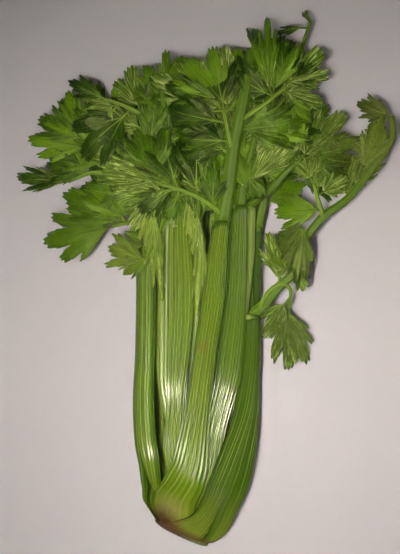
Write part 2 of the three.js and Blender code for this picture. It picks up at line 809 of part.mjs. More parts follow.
// The root plate: a low dome with a flat trimmed end, under the feet of the stalks.
function rootPlate() {
  const levels = [
    [FOOT_Y - GAP, 0.98],
    [FOOT_Y - 2.2, 0.98],
    [FOOT_Y - 4.6, 0.86],
    [FOOT_Y - 6, 0.62],
  ];
  const sides = 24;
  const rings = levels.map(([y, share]) => {
    const section = bundleAt(FOOT_Y - 0.6 * (FOOT_Y - y));
    const reach = bundleAt(FOOT_Y).half * (1 - share);
    const ring = [];
    for (let i = 0; i < sides; i += 1) {
      ring.push(inBundle(section, y, (-2 * Math.PI * i) / sides, reach));
    }
    return ring;
  });
  return loft(rings.reverse());
}

// The heart: a pale core that parts into young stems with small crowded leaves.
const HEART_CORE = [
  [-199, 0.12],
  [-172, 0.13],
  [-143, 0.15],
  [-110, 0.2],
  [-95, 0.24],
];
const HEART = [
  {
    stem: [[-4, -104, 44], [-5, 0, 49], [-4, 62, 56]],
    leaves: [leaf(1, [-4, 66, 57], [-7, 98, 62], { kind: 'plain' })],
  },
  {
    stem: [[-9, -104, 38], [-16, -10, 39], [-16, 50, 42]],
    leaves: [leaf(1, [-16, 54, 42], [-24, 84, 44], { kind: 'plain' })],
  },
  {
    stem: [[0, -104, 36], [8, -10, 34], [9, 50, 36]],
    leaves: [leaf(1, [10, 54, 37], [16, 84, 40], { kind: 'plain' })],
  },
];

function heart() {
  const rings = HEART_CORE.map(([y, share]) => {
    const section = bundleAt(y);
    const ring = [];
    for (let i = 0; i < 10; i += 1) {
      ring.push(inBundle(section, y, (2 * Math.PI * i) / 10, section.half * (1 - share)));
    }
    return ring.map(([x, , z]) => [x, y, lerp(section.z, z, section.flat)]);
  });
  const bodies = [solid(loft(rings))];
  for (const young of HEART) {
    const [top, ...stem] = young.stem;
    const spec = { ...young, stem, start: [4.6, 4], branches: [] };
    const { stems, blades } = frondParts(spec, top);
    bodies.push(stems, blades);
  }
  return fuse(bodies);
}

// ---------------------------------------------------------------- the head

const STALK_GREEN = new THREE.MeshStandardMaterial({ color: 0x7f9f35, roughness: 0.38, metalness: 0 });
const INNER_GREEN = new THREE.MeshStandardMaterial({ color: 0xa9b85a, roughness: 0.4, metalness: 0 });
const LEAF_GREEN = new THREE.MeshStandardMaterial({ color: 0x3f6420, roughness: 0.5, metalness: 0 });
const HEART_PALE = new THREE.MeshStandardMaterial({ color: 0xc4cc7e, roughness: 0.45, metalness: 0 });
const ROOT_BROWN = new THREE.MeshStandardMaterial({ color: 0x8a6a45, roughness: 0.8, metalness: 0 });

const celery = new THREE.Group();

function addPiece(name, body, material) {
  const mesh = body.getMesh();
  const geometry = new THREE.BufferGeometry();
  geometry.setAttribute('position', new THREE.BufferAttribute(mesh.vertProperties, 3));
  geometry.setIndex([...mesh.triVerts]);
  const piece = new THREE.Mesh(mergeVertices(geometry), material);
  piece.name = name;
  celery.add(piece);
}

const frontStalks = ['stalk_front', 'stalk_front_right', 'stalk_front_left', 'stalk_left'];
frontStalks.push('stalk_right_upper', 'stalk_right');
const stalkNames = Object.keys(STALKS);

function stalkBody(name, extra = 0) {
  const course = STALKS[name];
  const ribs = frontStalks.includes(name) ? FRONT_RIBS : HIDDEN_RIBS;
  const levels = stalkLevels(course);
  levels[levels.length - 1] += extra;
  return solid(loft(levels.map((y) => stalkRing(course, y, ribs, extra))));
}

addPiece('root_plate', solid(rootPlate()), ROOT_BROWN);
for (const name of stalkNames) {
  addPiece(name, stalkBody(name), name.startsWith('inner') ? INNER_GREEN : STALK_GREEN);
}
const clearOfStalks = fuse(stalkNames.map((name) => stalkBody(name, GAP)));
addPiece('heart', largest(heart().subtract(clearOfStalks)), HEART_PALE);

const frondNames = Object.keys(FRONDS);
const makeFrond = (name, extra) => {
  const stalkName = name.replace(/^frond_(?!inner)/, 'stalk_').replace('frond_inner', 'inner');
  return frondParts(FRONDS[name], stalkTop(STALKS[stalkName]), extra);
};
const grown = frondNames.map((name) => makeFrond(name, LEAF_GAP));
const placed = [];
frondNames.forEach((name, i) => {
  let { stems, blades } = makeFrond(name, 0);
  stems = stems.subtract(clearOfStalks);
  blades = blades.subtract(clearOfStalks);
  grown.forEach((other, j) => {
    if (j < i) stems = stems.subtract(other.stems);
    if (j !== i) blades = blades.subtract(other.stems);
    if (j < i) blades = blades.subtract(other.blades);
  });
  let frond = stems.add(blades);
  for (const other of placed) frond = frond.subtract(other);
  placed.push(largest(frond));
  addPiece(name, placed[i], LEAF_GREEN);
});

export default celery;
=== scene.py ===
"""A head of celery lying on its side: ribbed stalks, a pale heart, leafy tops and the trimmed root.

Sizes in the tables are millimetres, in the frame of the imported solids: +Y runs from the root to the
leaves, +X across the head and +Z up from the surface that it lies on.
"""

import math
import random

import bmesh
import bpy
from mathutils import Matrix, Vector


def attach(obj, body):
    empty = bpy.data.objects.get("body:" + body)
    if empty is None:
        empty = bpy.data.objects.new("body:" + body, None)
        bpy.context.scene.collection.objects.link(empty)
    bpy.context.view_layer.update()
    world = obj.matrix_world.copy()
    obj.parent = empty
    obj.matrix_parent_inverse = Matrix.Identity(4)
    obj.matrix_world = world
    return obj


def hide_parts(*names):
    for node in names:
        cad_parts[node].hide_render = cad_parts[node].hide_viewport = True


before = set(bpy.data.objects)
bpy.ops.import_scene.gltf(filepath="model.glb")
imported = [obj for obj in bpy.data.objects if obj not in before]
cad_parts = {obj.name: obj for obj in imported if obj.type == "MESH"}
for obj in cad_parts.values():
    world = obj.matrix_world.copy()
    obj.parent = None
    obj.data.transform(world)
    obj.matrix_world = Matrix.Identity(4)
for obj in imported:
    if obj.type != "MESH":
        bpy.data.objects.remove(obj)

bl_info = {
    "name": "Head of celery",
    "version": (1, 0, 0),
    "blender": (4, 5, 0),
    "location": "View3D > Sidebar > Celery",
    "description": "Dresses a head of celery and sets a plain stage for it",
    "category": "Object",
}

# ------------------------------------------------------------------ driving dimensions, in mm

MM = 0.001
UP = Vector((0, 0, 1))
BODY = "root"
FOOT_Y = -202  # cut end of the stalks
FOOT_SKEW = 0.46  # slope across X of that slanting cut
FOOT_PIVOT = 3  # x at which the slant leaves y as it is
SKEW_FROM, SKEW_SPAN = -150, 49  # y at which the slant begins, and how far on it is complete
LAYER_SHARE = 0.17  # depth of one layer of stalks, as a share of the bundle's half width
WALL_SHARE = 0.15  # thickness of a stalk, as the same share
FLARE_THINNING = 0.2  # share of that thickness which a flared foot loses
CROWN = 3  # how far a stalk's edges fall away from its middle
EDGE_ROUND = 0.14  # share of a stalk's half width that its rounded edge takes up
BLADE = 0.45  # thickness of a leaf blade
RUFFLE = 1.6  # wave height at a leaf's rim
NECK = 1.8  # width of the small stem under a leaflet
NECK_LENGTH = 6  # least length of it
NECK_ROOT = 0.97  # furthest place along a stem that one grows from

# Names of the values that every vertex carries for the materials.
LAYERS = ("across", "along", "ridge", "tone", "under", "edge")

CRINKLE = 1.0  # height of the finer crinkles at a rim
LOBE_BEND = 1.7  # how far each lobe of a leaflet cups
TOOTH_RUN = 225  # degrees times mm round a leaflet's rim from one small tooth to the next
TOOTH = 3.8  # depth of a tooth
LEAF_FACES = (104, 6)  # faces round and along a leaflet's blade
SMALL_FACES = (72, 4)  # the same on a leaf under the others
HIDDEN_SHADE_TONES = (0, 0.02, 0.05, 0.1, 0.2, 0.45, 0.9)  # shades of those, 0 the darkest, mostly dark as painted shade under the leaves above them
MAIN_TONE, SIDE_TONE = 0.8, 0.1  # how dark the main and the side stems are
STEM_TAPER = 0.42  # share of its width that a frond's stem loses by its end
VEINS = ((0, 0.9), (27, 0.6), (-27, 0.6), (50, 0.5), (-50, 0.5))  # angle and half width of the veins
JOINT_SWELL = 0.9  # how far the joint at a stalk's top stands out
ROOT_DEPTH = 3.4  # from the stalks' cut end to the end of the root
ROOT_SHARE = [[0, 0.97], [0.4, 0.95], [0.85, 0.8], [1, 0.6]]
FLOOR_SIZE = 3  # half width of the floor, in metres
VIEW_CENTRE = (-1.5, 1.5)  # middle of the picture
VIEW_LEVEL = 55  # height at which the picture's scale is true
SEEN_STALKS = (
    "stalk_front", "stalk_front_right", "stalk_front_left", "stalk_left", "stalk_right_upper",
    "stalk_right",
)
# How dark each stalk is, from 0 to 1, partly its own tone and partly painted shade: the right-hand
# stalks are darkest as if the light fell off towards them; the others take a random shade.
STALK_TONE_AND_SHADE = {
    "stalk_front": 0.35, "stalk_front_left": 0.25, "stalk_left": 0.42, "stalk_front_right": 0.95,
    "stalk_right_upper": 0.7, "stalk_right": 1, "inner_left": 0.3,
}
PALE_STRING_AND_GLINT, PALE_JOINT = "b4bf6a", "a4ae58"  # paler strings near the foot, partly a painted highlight where they glint, and the joints
CUT_RIM = "5c4426"  # dried rim of the cut end
HEART_SEED, FROND_SEED, ROOT_SEED = 71, 100, 5  # starts of their random draws
TONE_SHIFT = 61.0  # how far apart the patterns of the lightest and the darkest shade are taken
STRING_SPREAD = 12  # width that the strings' pattern takes for half a stalk
# Leaflets that are narrower than their plain form, by the place of their tip.
TRIM = {
    (69, -73, 6): 0.8, (46, -47, 22): 0.75, (49, 197, 78): 0.42, (-121, 29, 32): 0.74,
    (-86, 96, 70): 0.7,
}
# Marks at the foot and on the stalks: place, full strength within, none beyond, colour.
FOOT_MARKS = (
    ((-27, -177, 62), 5, 20, "857b40"),
    ((-34, -193, 52), 12, 23, "4e2f1c"),
    ((0, -52, 84), 1, 9, "7a5a26"),
)
ROOT_MARKS = (((-30, -190, 50), 16, 34, "4a2c1c"), ((30, -214, 52), 28, 46, "5f6c22"))
# Patches of other colour on the leaves, yellower, paler and darker ones, in the same form.
LEAF_MARKS = (
    ((134, 108, 66), 22, 44, "6a6a2c"),
    ((70, 18, 70), 14, 34, "5a6226"),
    ((80, 198, 54), 12, 28, "26340e"),
    ((68, -46, 28), 18, 40, "525e2a"),
    ((-66, 19, 63), 10, 28, "97a63c"),
    ((-98, 32, 42), 24, 44, "2c4408"),
)
LEAF_MARK_STRENGTH = 0.5  # strength of those marks
# Half of a leaflet's rim, from its tip to its base: angle from the midrib, then the distance from
# the base over the leaflet's length. Far points are lobes, near ones the narrow cuts between.
LOBES = {
    "broad": [
        [0, 1], [5, 0.95], [10, 0.93], [14, 0.8], [18, 0.58], [21, 0.76], [27, 0.9], [33, 0.87],
        [39, 0.82], [43, 0.64], [47, 0.5], [50, 0.6], [56, 0.62], [62, 0.44], [68, 0.15],
    ],
    "long": [
        [0, 1], [6, 0.92], [12, 0.88], [16, 0.72], [20, 0.55], [23, 0.7], [29, 0.78], [34, 0.73],
        [38, 0.56], [41, 0.47], [44, 0.58], [51, 0.52], [62, 0.15],
    ],
    "plain": [
        [0, 1], [7, 0.86], [12, 0.8], [16, 0.84], [22, 0.82], [29, 0.54], [34, 0.6], [42, 0.66],
        [49, 0.5], [60, 0.15],
    ],
}
# The bundle from root to leaves: y, centre x, half width, half height over half width, centre z.
BUNDLE = [
    [-202, -15.5, 20.5, 0.93, 38], [-199, -14.9, 24.2, 0.89, 38], [-194.6, -14.7, 28.4, 0.874, 38.2],
    [-190, -14.2, 31.7, 0.865, 38.4], [-182, -12, 34.8, 0.88, 38.6], [-172, -9.3, 37.6, 0.892, 38.8],
    [-160, -5.8, 41.6, 0.88, 39], [-143, -4.4, 44.8, 0.865, 39.2], [-123, -4.8, 47.4, 0.855, 39.4],
    [-93, -4.7, 48.6, 0.85, 39.5], [-54, -3.1, 48.4, 0.85, 39.5], [-16, -2.7, 48.2, 0.85, 39.5],
    [30, -2.3, 48.6, 0.85, 39.5], [60, -2.1, 49, 0.85, 39.5],
]

# Each stalk's course: y, then the angle round the bundle of its left and right edge (0 is +X and
# 90 is up), then how many layers it lies under the outside. The last row is its top end.
STALKS = {
    "stalk_front": [
        [-202, 164, 62, 1], [-190, 164, 68, 1], [-182, 163, 73, 1], [-172, 159, 78, 0.9],
        [-163, 149, 79, 0.4], [-153, 130, 77.5, 0], [-143, 119, 76, 0], [-123, 109.5, 76, 0],
        [-93, 100, 74, 0], [-54, 94.5, 71.5, 0], [-16, 87, 63.5, 0], [30, 80, 60.5, 0],
        [44, 75, 59.5, 0],
    ],
    "stalk_front_right": [
        [-202, 167, 42, 0], [-199, 128, 45, 0], [-194, 103, 47, 0], [-183, 83.5, 49, 0],
        [-172, 77.5, 50, 0], [-160, 77, 50, 0], [-143, 70, 43, 0], [-123, 59, 34.5, 0],
        [-93, 44, 16, 0], [-54, 37, 8.5, 0], [-27, 34, 11, 0],
    ],
    "stalk_front_left": [
        [-202, 170, 72, 3], [-186, 168, 80, 3], [-172, 155, 92, 3], [-160, 142, 100, 2.4],
        [-143, 141, 109, 1.4], [-123, 136.5, 106, 1.1], [-108, 127, 102, 0.9], [-93, 121, 101.2, 0.3],
        [-76, 122, 99, 0], [-54, 123, 96.5, 0], [-16, 123, 93, 0], [30, 122, 97, 0], [52, 120, 99, 0],
    ],
    "stalk_left": [
        [-202, 196, 120, 2], [-186, 192, 126, 2], [-179, 184, 135, 2], [-172, 176, 148, 1.6],
        [-160, 171, 147.5, 1.05], [-143, 166, 134, 0.15], [-123, 165, 135.5, 0], [-93, 165, 137.5, 0],
        [-54, 165, 139.5, 0], [-16, 165, 139.5, 0], [38, 162, 139, 0],
    ],
    "stalk_right_upper": [
        [-202, 108, 32, 2], [-186, 105, 36, 2], [-172, 98, 45, 2], [-160, 90, 52, 1.6],
        [-143, 84, 54, 1.4], [-123, 79.5, 51, 1.2], [-108, 76, 49.5, 1.03], [-93, 72.5, 45.5, 0.4],
        [-76, 71, 42.5, 0], [-54, 69.5, 39, 0], [-16, 61.5, 36, 0], [30, 58.5, 35, 0], [56, 56, 38, 0],
    ],
    "stalk_right": [
        [-202, 39, -38, 0], [-186, 46, -30, 0], [-172, 47.5, -20, 0], [-160, 48, -12, 0],
        [-143, 41, -8, 0], [-123, 32.5, -8, 0], [-93, 14, -20, 0], [-54, 6.5, -22, 0], [40, 4, -20, 0],
    ],
    "stalk_back_right": [
        [-202, 28, -58, 1], [-186, 12, -60, 1], [-172, 0, -60, 1], [-160, -10, -58, 1],
        [-143, -10.5, -55, 0.6], [-123, -10, -46.5, 0], [-93, -22.5, -56, 0], [44, -25, -55, 0],
    ],
    "stalk_under_right": [
        [-202, -42, -117, 0], [-186, -44, -115, 0], [-172, -48, -111, 0], [-160, -56, -107, 0],
        [-143, -57, -97, 0], [-123, -48.5, -82, 0], [-93, -58, -90, 0], [47, -59, -89, 0],
    ],
    "stalk_under": [
        [-202, -62, -128, 1], [-186, -66, -128, 1], [-172, -76, -126, 1], [-160, -84, -124, 1],
        [-143, -99, -123, 0.8], [-123, -84.5, -122, 0], [-93, -92, -123.5, 0], [50, -92, -122, 0],
    ],
    "stalk_under_left": [
        [-202, -132, -192, 1], [-186, -132, -190, 1], [-172, -130, -184, 1], [-160, -128, -177, 1],
        [-143, -125.5, -151, 1], [-123, -124, -158, 0], [-93, -125.5, -158.5, 0], [46, -126, -157, 0],
    ],
    "stalk_back_left": [
        [-202, -121, -189, 0], [-186, -119, -196, 0], [-172, -118, -196, 0], [-160, -124, -196, 0],
        [-143, -153, -193, 0], [-123, -160, -193, 0], [-93, -160.5, -193, 0], [42, -161, -191, 0],
    ],
    "inner_right": [
        [-202, 58, -40, 3], [-172, 48, -30, 3], [-160, 44, -20, 3], [-143, 40, -8, 2.5],
        [-123, 35, -5, 1.7], [-93, 30, 2, 1.2], [-40, 28, 5, 1.2], [15, 32, 8, 0.5], [56, 31, 12, 0.4],
    ],
    "inner_under": [
        [-202, -50, -168, 3], [-160, -60, -150, 3], [-123, -70, -115, 2], [-93, -75, -108, 1.2],
        [55, -78, -106, 1.2],
    ],
    "inner_left": [
        [-202, 183, 110, 4], [-172, 175, 115, 4], [-160, 170, 120, 3.6], [-143, 155, 122, 2.7],
        [-123, 145, 121, 2.4], [-108, 142, 122, 2.1], [-93, 146, 123, 1.5], [-54, 152, 120, 1.05],
        [5, 152, 120, 1.05], [45, 150, 121, 1.1],
    ],
    "inner_front": [
        [-202, 92, 5, 4], [-172, 98, 30, 4], [-160, 100, 50, 3.8], [-143, 102, 70, 2.9],
        [-123, 102, 78, 1.9], [-93, 100, 79, 1.25], [-16, 98, 80, 1.15], [19, 95, 81, 1.15],
    ],
}


def leaf(kind, at, base, tip, **look):
    """A leaflet: its rim, its place along the stem from 0 to 1, its base, its tip and how it lies."""
    return {"kind": kind, "at": at, "base": base, "tip": tip, **look}


def broad_leaf(*place, **look):
    """A leaflet with the broad rim."""
    return leaf("broad", *place, **look)


def long_leaf(*place, **look):
    """A leaflet with the long rim."""
    return leaf("long", *place, **look)


def plain_leaf(*place, **look):
    """A leaflet with the plain rim."""
    return leaf("plain", *place, **look)


def stem_of(points, *leaves):
    """A stem through points, with its leaflets."""
    return {"stem": points, "leaves": list(leaves)}


def frond_of(start, main, *branches):
    """A frond: its main stem's first half width and half height, that stem, and the side stems."""
    return {**main, "start": start, "branches": list(branches)}


# Each frond carries on from the top of the stalk of the same name: the half width and half height
# that it starts with, its main stem with the leaflets on it, and the side stems with theirs.
FRONDS = {
    "frond_front": frond_of(
        [5.8, 3.3],
        stem_of(
            [[20, 71, 80], [24.5, 105, 85], [29.6, 128, 87], [34, 151, 86], [37, 173, 80]],
            plain_leaf(1, [38, 176, 78], [43, 188, 54], roll=10),
        ),
        stem_of(
            [[14.5, 49, 76], [3, 58, 81], [-12, 65.5, 83], [-34, 72, 83]],
            broad_leaf(1, [-37, 73, 83], [-86, 96, 70], roll=176),
            long_leaf(0.8, [-30, 66, 82], [-72, 62, 70], roll=170, spread=0.8),
        ),
        stem_of(
            [[22.5, 98, 85], [19.5, 110, 88], [16, 127, 89]],
            broad_leaf(1, [12, 130, 89], [-38, 154, 80], roll=184, spread=0.72),
            broad_leaf(0.9, [19, 131, 89], [15, 176, 83], roll=176, spread=0.85),
        ),
        stem_of(
            [[31, 120, 86], [45.6, 130, 89], [55.5, 137.6, 90], [63, 144, 89]],
            broad_leaf(1, [67, 148, 89], [92, 174, 78], roll=178),
            broad_leaf(0.85, [64, 141, 88], [93, 132, 74], roll=172),
            broad_leaf(0.6, [50, 144, 90], [49, 197, 78], spread=0.65),
        ),
    ),
    "frond_front_right": frond_of(
        [4.2, 3.2],
        stem_of(
            [
                [50, -16, 59], [56, -8, 63], [67, 3, 67], [72, 13, 70], [78, 30, 73], [91, 47, 75],
                [109, 60, 75], [128, 83, 74], [139, 98, 72], [144, 109, 70], [143, 123, 66],
            ],
            long_leaf(1, [140, 124, 66], [115, 134, 58], spread=0.9),
            plain_leaf(0.9, [137, 105, 73], [124, 119, 66], roll=178),
            long_leaf(0.83, [130, 94, 75], [111, 102, 66], roll=184),
            long_leaf(0.56, [86, 52, 78], [51, 51, 62], spread=0.85, roll=-6),
            long_leaf(0.48, [75, 38, 75], [58, 21, 60], roll=6),
            plain_leaf(0.36, [75, 17, 71], [78, -12, 56], roll=180, spread=0.8, fold=30),
            long_leaf(0.2, [58, 1, 67], [60, 29, 60], spread=0.8, roll=178),
        ),
        stem_of(
            [[91, 48, 76], [87, 60, 80], [84, 72, 81]],
            long_leaf(1, [83, 75, 81], [71, 94, 75], roll=178, spread=1.1),
            long_leaf(0.6, [91, 66, 80], [112, 78, 75], roll=182),
        ),
        stem_of(
            [[44, -22, 58], [51, -9, 65], [60, -3.5, 68], [67, -8, 62], [66, -22, 50]],
            broad_leaf(1, [66, -26, 46], [69, -73, 6], roll=180, spread=0.6),
            long_leaf(0.85, [62, -20, 52], [46, -47, 22], roll=180, spread=0.9),
        ),
    ),
    "frond_inner_front": frond_of(
        [3, 2.6],
        stem_of(
            [[-1.5, 35, 70], [-3, 50, 73], [1, 75, 75], [8, 95, 79], [13, 102, 80]],
            broad_leaf(1, [9, 106, 80], [-22, 112, 75], spread=0.9),
            long_leaf(0.6, [6, 66, 77], [10, 90, 76], spread=1.1),
            long_leaf(0.5, [-5, 64, 77], [-14, 96, 76], roll=180, fold=25),
            plain_leaf(0.1, [-3.4, 17, 72], [-3, -31, 72.5], roll=180, spread=0.12, fold=20),
        ),
    ),
    "frond_inner_left": frond_of(
        [4, 3],
        stem_of(
            [[-32, 70, 66], [-39, 95, 71], [-44, 115, 75], [-47, 127, 76]],
            broad_leaf(1, [-48, 131, 76], [-55, 162, 68], roll=182),
            long_leaf(0.7, [-38, 108, 77], [-34, 142, 77], spread=0.9),
            long_leaf(0.4, [-43, 88, 72], [-60, 112, 70]),
        ),
        stem_of(
            [[-46, 124, 77], [-60, 131, 78], [-72, 135, 76]],
            long_leaf(1, [-77, 136, 75], [-102, 149, 60], spread=0.8, fold=25),
            long_leaf(0.6, [-68, 130, 77], [-94, 122, 66], roll=176),
        ),
        stem_of(
            [[-28, 50, 63], [-32, 36, 71], [-37, 20, 73.5], [-41, 13, 71]],
            broad_leaf(1, [-45, 12, 70], [-74, 24, 56], spread=0.85),
        ),
    ),
    "frond_left": frond_of(
        [5.2, 3.2],
        stem_of(
            [[-48, 52, 62], [-60, 70, 65], [-72, 86, 64], [-84, 100, 62], [-93, 111, 58]],
            long_leaf(1, [-96, 115, 57], [-108, 136, 48]),
            long_leaf(0.9, [-95, 108, 60], [-128, 125, 44], spread=0.8),
            broad_leaf(0.8, [-87, 99, 63], [-132, 107, 44], spread=0.65),
            broad_leaf(0.72, [-76, 98, 65], [-84, 138, 62], spread=0.85),
            long_leaf(0.35, [-62, 64, 66], [-92, 66, 52], spread=1.2),
        ),
        stem_of(
            [[-44, 43, 61], [-56, 42.5, 60], [-68, 40, 56]],
            broad_leaf(1, [-72, 38.5, 54], [-121, 29, 32], roll=-4),
            long_leaf(0.6, [-62, 46, 60], [-108, 65, 44], spread=0.85, roll=6),
        ),
        stem_of(
            [[-68, 81, 65], [-86, 80, 62], [-101, 74, 55]],
            long_leaf(1, [-105, 73, 54], [-144, 77, 38], spread=0.8, fold=45),
            long_leaf(0.5, [-90, 84, 61], [-122, 88, 46]),
        ),
    ),
    "frond_front_left": frond_of(
        [4.6, 3.2],
        stem_of(
            [[-21, 75, 76], [-26, 100, 77], [-29, 125, 78], [-30, 142, 76]],
            broad_leaf(1, [-28, 146, 76], [-12, 170, 68]),
            long_leaf(0.9, [-33, 140, 77], [-44, 164, 68]),
            long_leaf(0.6, [-21, 110, 75], [-4, 138, 69], roll=178, spread=0.9),
            long_leaf(0.4, [-30, 92, 76], [-54, 86, 74], roll=178, spread=0.8),
        ),
    ),
    "frond_right_upper": frond_of(
        [4.2, 3.2],
        stem_of(
            [[32, 75, 71], [37, 95, 73], [43, 115, 74], [50, 135, 73], [54, 152, 69]],
            broad_leaf(1, [55, 156, 68], [58, 187, 56]),
            broad_leaf(0.7, [42, 130, 74], [30, 166, 68], roll=176, spread=0.8),
            broad_leaf(0.55, [48, 112, 77], [84, 121, 74], spread=0.9),
            broad_leaf(0.2, [38, 76, 76], [66, 119, 82], roll=180, spread=0.72),
            long_leaf(0.25, [28, 84, 73], [14, 118, 68]),
        ),
    ),
    "frond_inner_right": frond_of(
        [3.6, 2.8],
        stem_of(
            [[44, 62, 59], [52, 68, 66], [60, 77, 71], [68, 85, 73], [76, 91, 73]],
            broad_leaf(1, [81, 92, 72], [126, 86, 56], spread=0.85),
            broad_leaf(0.95, [80, 97, 73], [109, 128, 60], roll=178, spread=0.8),
            long_leaf(0.8, [75, 83, 72], [112, 68, 58], spread=0.9),
            broad_leaf(0.7, [71, 92, 70], [76, 124, 58], roll=178, spread=0.8),
        ),
    ),
    "frond_right": frond_of(
        [4.6, 3.2],
        stem_of(
            [[47, 60, 38], [53, 85, 42], [61, 110, 44], [69, 128, 42]],
            long_leaf(0.8, [70, 112, 46], [98, 132, 38]),
            long_leaf(0.45, [60, 86, 43], [92, 102, 32]),
            plain_leaf(0.2, [53, 60, 39], [80, 74, 26]),
        ),
        stem_of(
            [[66, 120, 43], [70, 145, 50], [74, 170, 54], [80, 188, 54], [83, 197, 52]],
            long_leaf(0.82, [73, 191, 55], [56, 187, 46], spread=0.5, fold=25),
            plain_leaf(1, [82, 198, 52], [78, 205, 50]),
            plain_leaf(0.3, [76, 144, 52], [88, 166, 48]),
        ),
    ),
    "frond_back_left": frond_of(
        [4.6, 3.2],
        stem_of(
            [[-54, 65, 39], [-62, 90, 38], [-70, 115, 36], [-75, 130, 34]],
            long_leaf(1, [-77, 134, 34], [-92, 154, 28]),
            long_leaf(0.75, [-64, 116, 40], [-62, 154, 42]),
            plain_leaf(0.25, [-62, 68, 40], [-94, 56, 22]),
        ),
    ),
    "frond_back_right": frond_of(
        [4.6, 3.2],
        stem_of(
            [[38, 70, 16], [44, 95, 14], [49, 115, 12]],
            plain_leaf(1, [51, 119, 12], [62, 152, 5]),
            plain_leaf(0.6, [51, 98, 14], [88, 114, 8]),
            plain_leaf(0.3, [46, 74, 16], [76, 80, 8]),
        ),
    ),
    "frond_under_left": frond_of(
        [4.8, 3.2],
        stem_of(
            [[-41, 70, 16], [-45, 95, 14], [-48, 115, 12]],
            plain_leaf(1, [-50, 119, 12], [-58, 152, 5]),
            plain_leaf(0.55, [-52, 96, 15], [-86, 108, 8]),
            plain_leaf(0.3, [-49, 72, 16], [-80, 66, 8]),
        ),
    ),
    "frond_under": frond_of(
        [4.8, 3],
        stem_of(
            [[-16, 75, 7], [-18, 100, 7], [-19, 120, 6]],
            plain_leaf(1, [-19, 125, 6], [-24, 160, 4]),
            plain_leaf(0.5, [-22, 90, 7], [-42, 114, 4]),
        ),
    ),
    "frond_under_right": frond_of(
        [4.8, 3],
        stem_of(
            [[13, 75, 7], [16, 100, 7], [19, 120, 6]],
            plain_leaf(1, [20, 125, 6], [27, 162, 4]),
            plain_leaf(0.5, [20, 90, 7], [42, 112, 4]),
        ),
    ),
    "frond_inner_under": frond_of(
        [4.2, 2.8],
        stem_of(
            [[-2, 80, 24], [-1, 105, 29], [0, 126, 31]],
            plain_leaf(1, [0, 131, 31], [2, 168, 28]),
            plain_leaf(0.6, [-7, 104, 29], [-38, 130, 26]),
            plain_leaf(0.7, [6, 112, 30], [40, 136, 28]),
        ),
    ),
}

# The heart's core: y, then its share of the bundle's half width.
HEART_CORE = [
    [-202, 0.12],
    [-172, 0.13],
    [-143, 0.15],
    [-110, 0.2],
    [-95, 0.24],
]

# The young stems that the core parts into.
HEART = [
    stem_of([[-4, -104, 44], [-5, 0, 49], [-4, 62, 56]], plain_leaf(1, [-4, 66, 57], [-7, 98, 62])),
    stem_of(
        [[-9, -104, 38], [-16, -10, 39], [-16, 50, 42]],
        plain_leaf(1, [-16, 54, 42], [-24, 84, 44]),
    ),
    stem_of([[0, -104, 36], [8, -10, 34], [9, 50, 36]], plain_leaf(1, [10, 54, 37], [16, 84, 40])),
]

# Outline, seen from above, of the mass of leaves where no surface shows through.
CANOPY = [
    (-58, 40), (-84, 50), (-98, 60), (-102, 74), (-112, 86), (-118, 98), (-112, 112), (-106, 124),
    (-94, 136), (-78, 143), (-60, 150), (-42, 156), (-20, 163), (0, 169), (24, 171), (44, 180),
    (56, 185), (70, 178), (84, 170), (88, 158), (85, 144), (89, 131), (102, 121), (110, 108),
    (114, 96), (106, 82), (88, 72), (66, 76), (50, 62), (34, 52), (14, 52), (-10, 48), (-30, 46),
]

# Crumpled young leaves that show between the stalks, and one that has worked out at the side.
YOUNG_LEAVES = [
    long_leaf(1, [-35, 48, 73], [-31, -22, 71], spread=0.22, roll=20, fold=24, arch=0.02),
    broad_leaf(1, [-36, 50, 75], [-35, 4, 73], spread=0.4, fold=30, arch=0.02),
    long_leaf(1, [-1, 42, 78], [-3, -33, 74], spread=0.22, roll=-15, fold=26, arch=0.02),
    broad_leaf(1, [-4, 52, 80], [-2, 12, 79], spread=0.4, roll=170, fold=36, arch=0.02),
    plain_leaf(1, [-12, 62, 79], [-7, 28, 78], spread=0.5, fold=30),
    long_leaf(1, [-18, 66, 78], [-20, 36, 77], spread=0.5, roll=175, fold=30),
    broad_leaf(1, [-40, 56, 72], [-42, 24, 70], spread=0.6, fold=28),
]

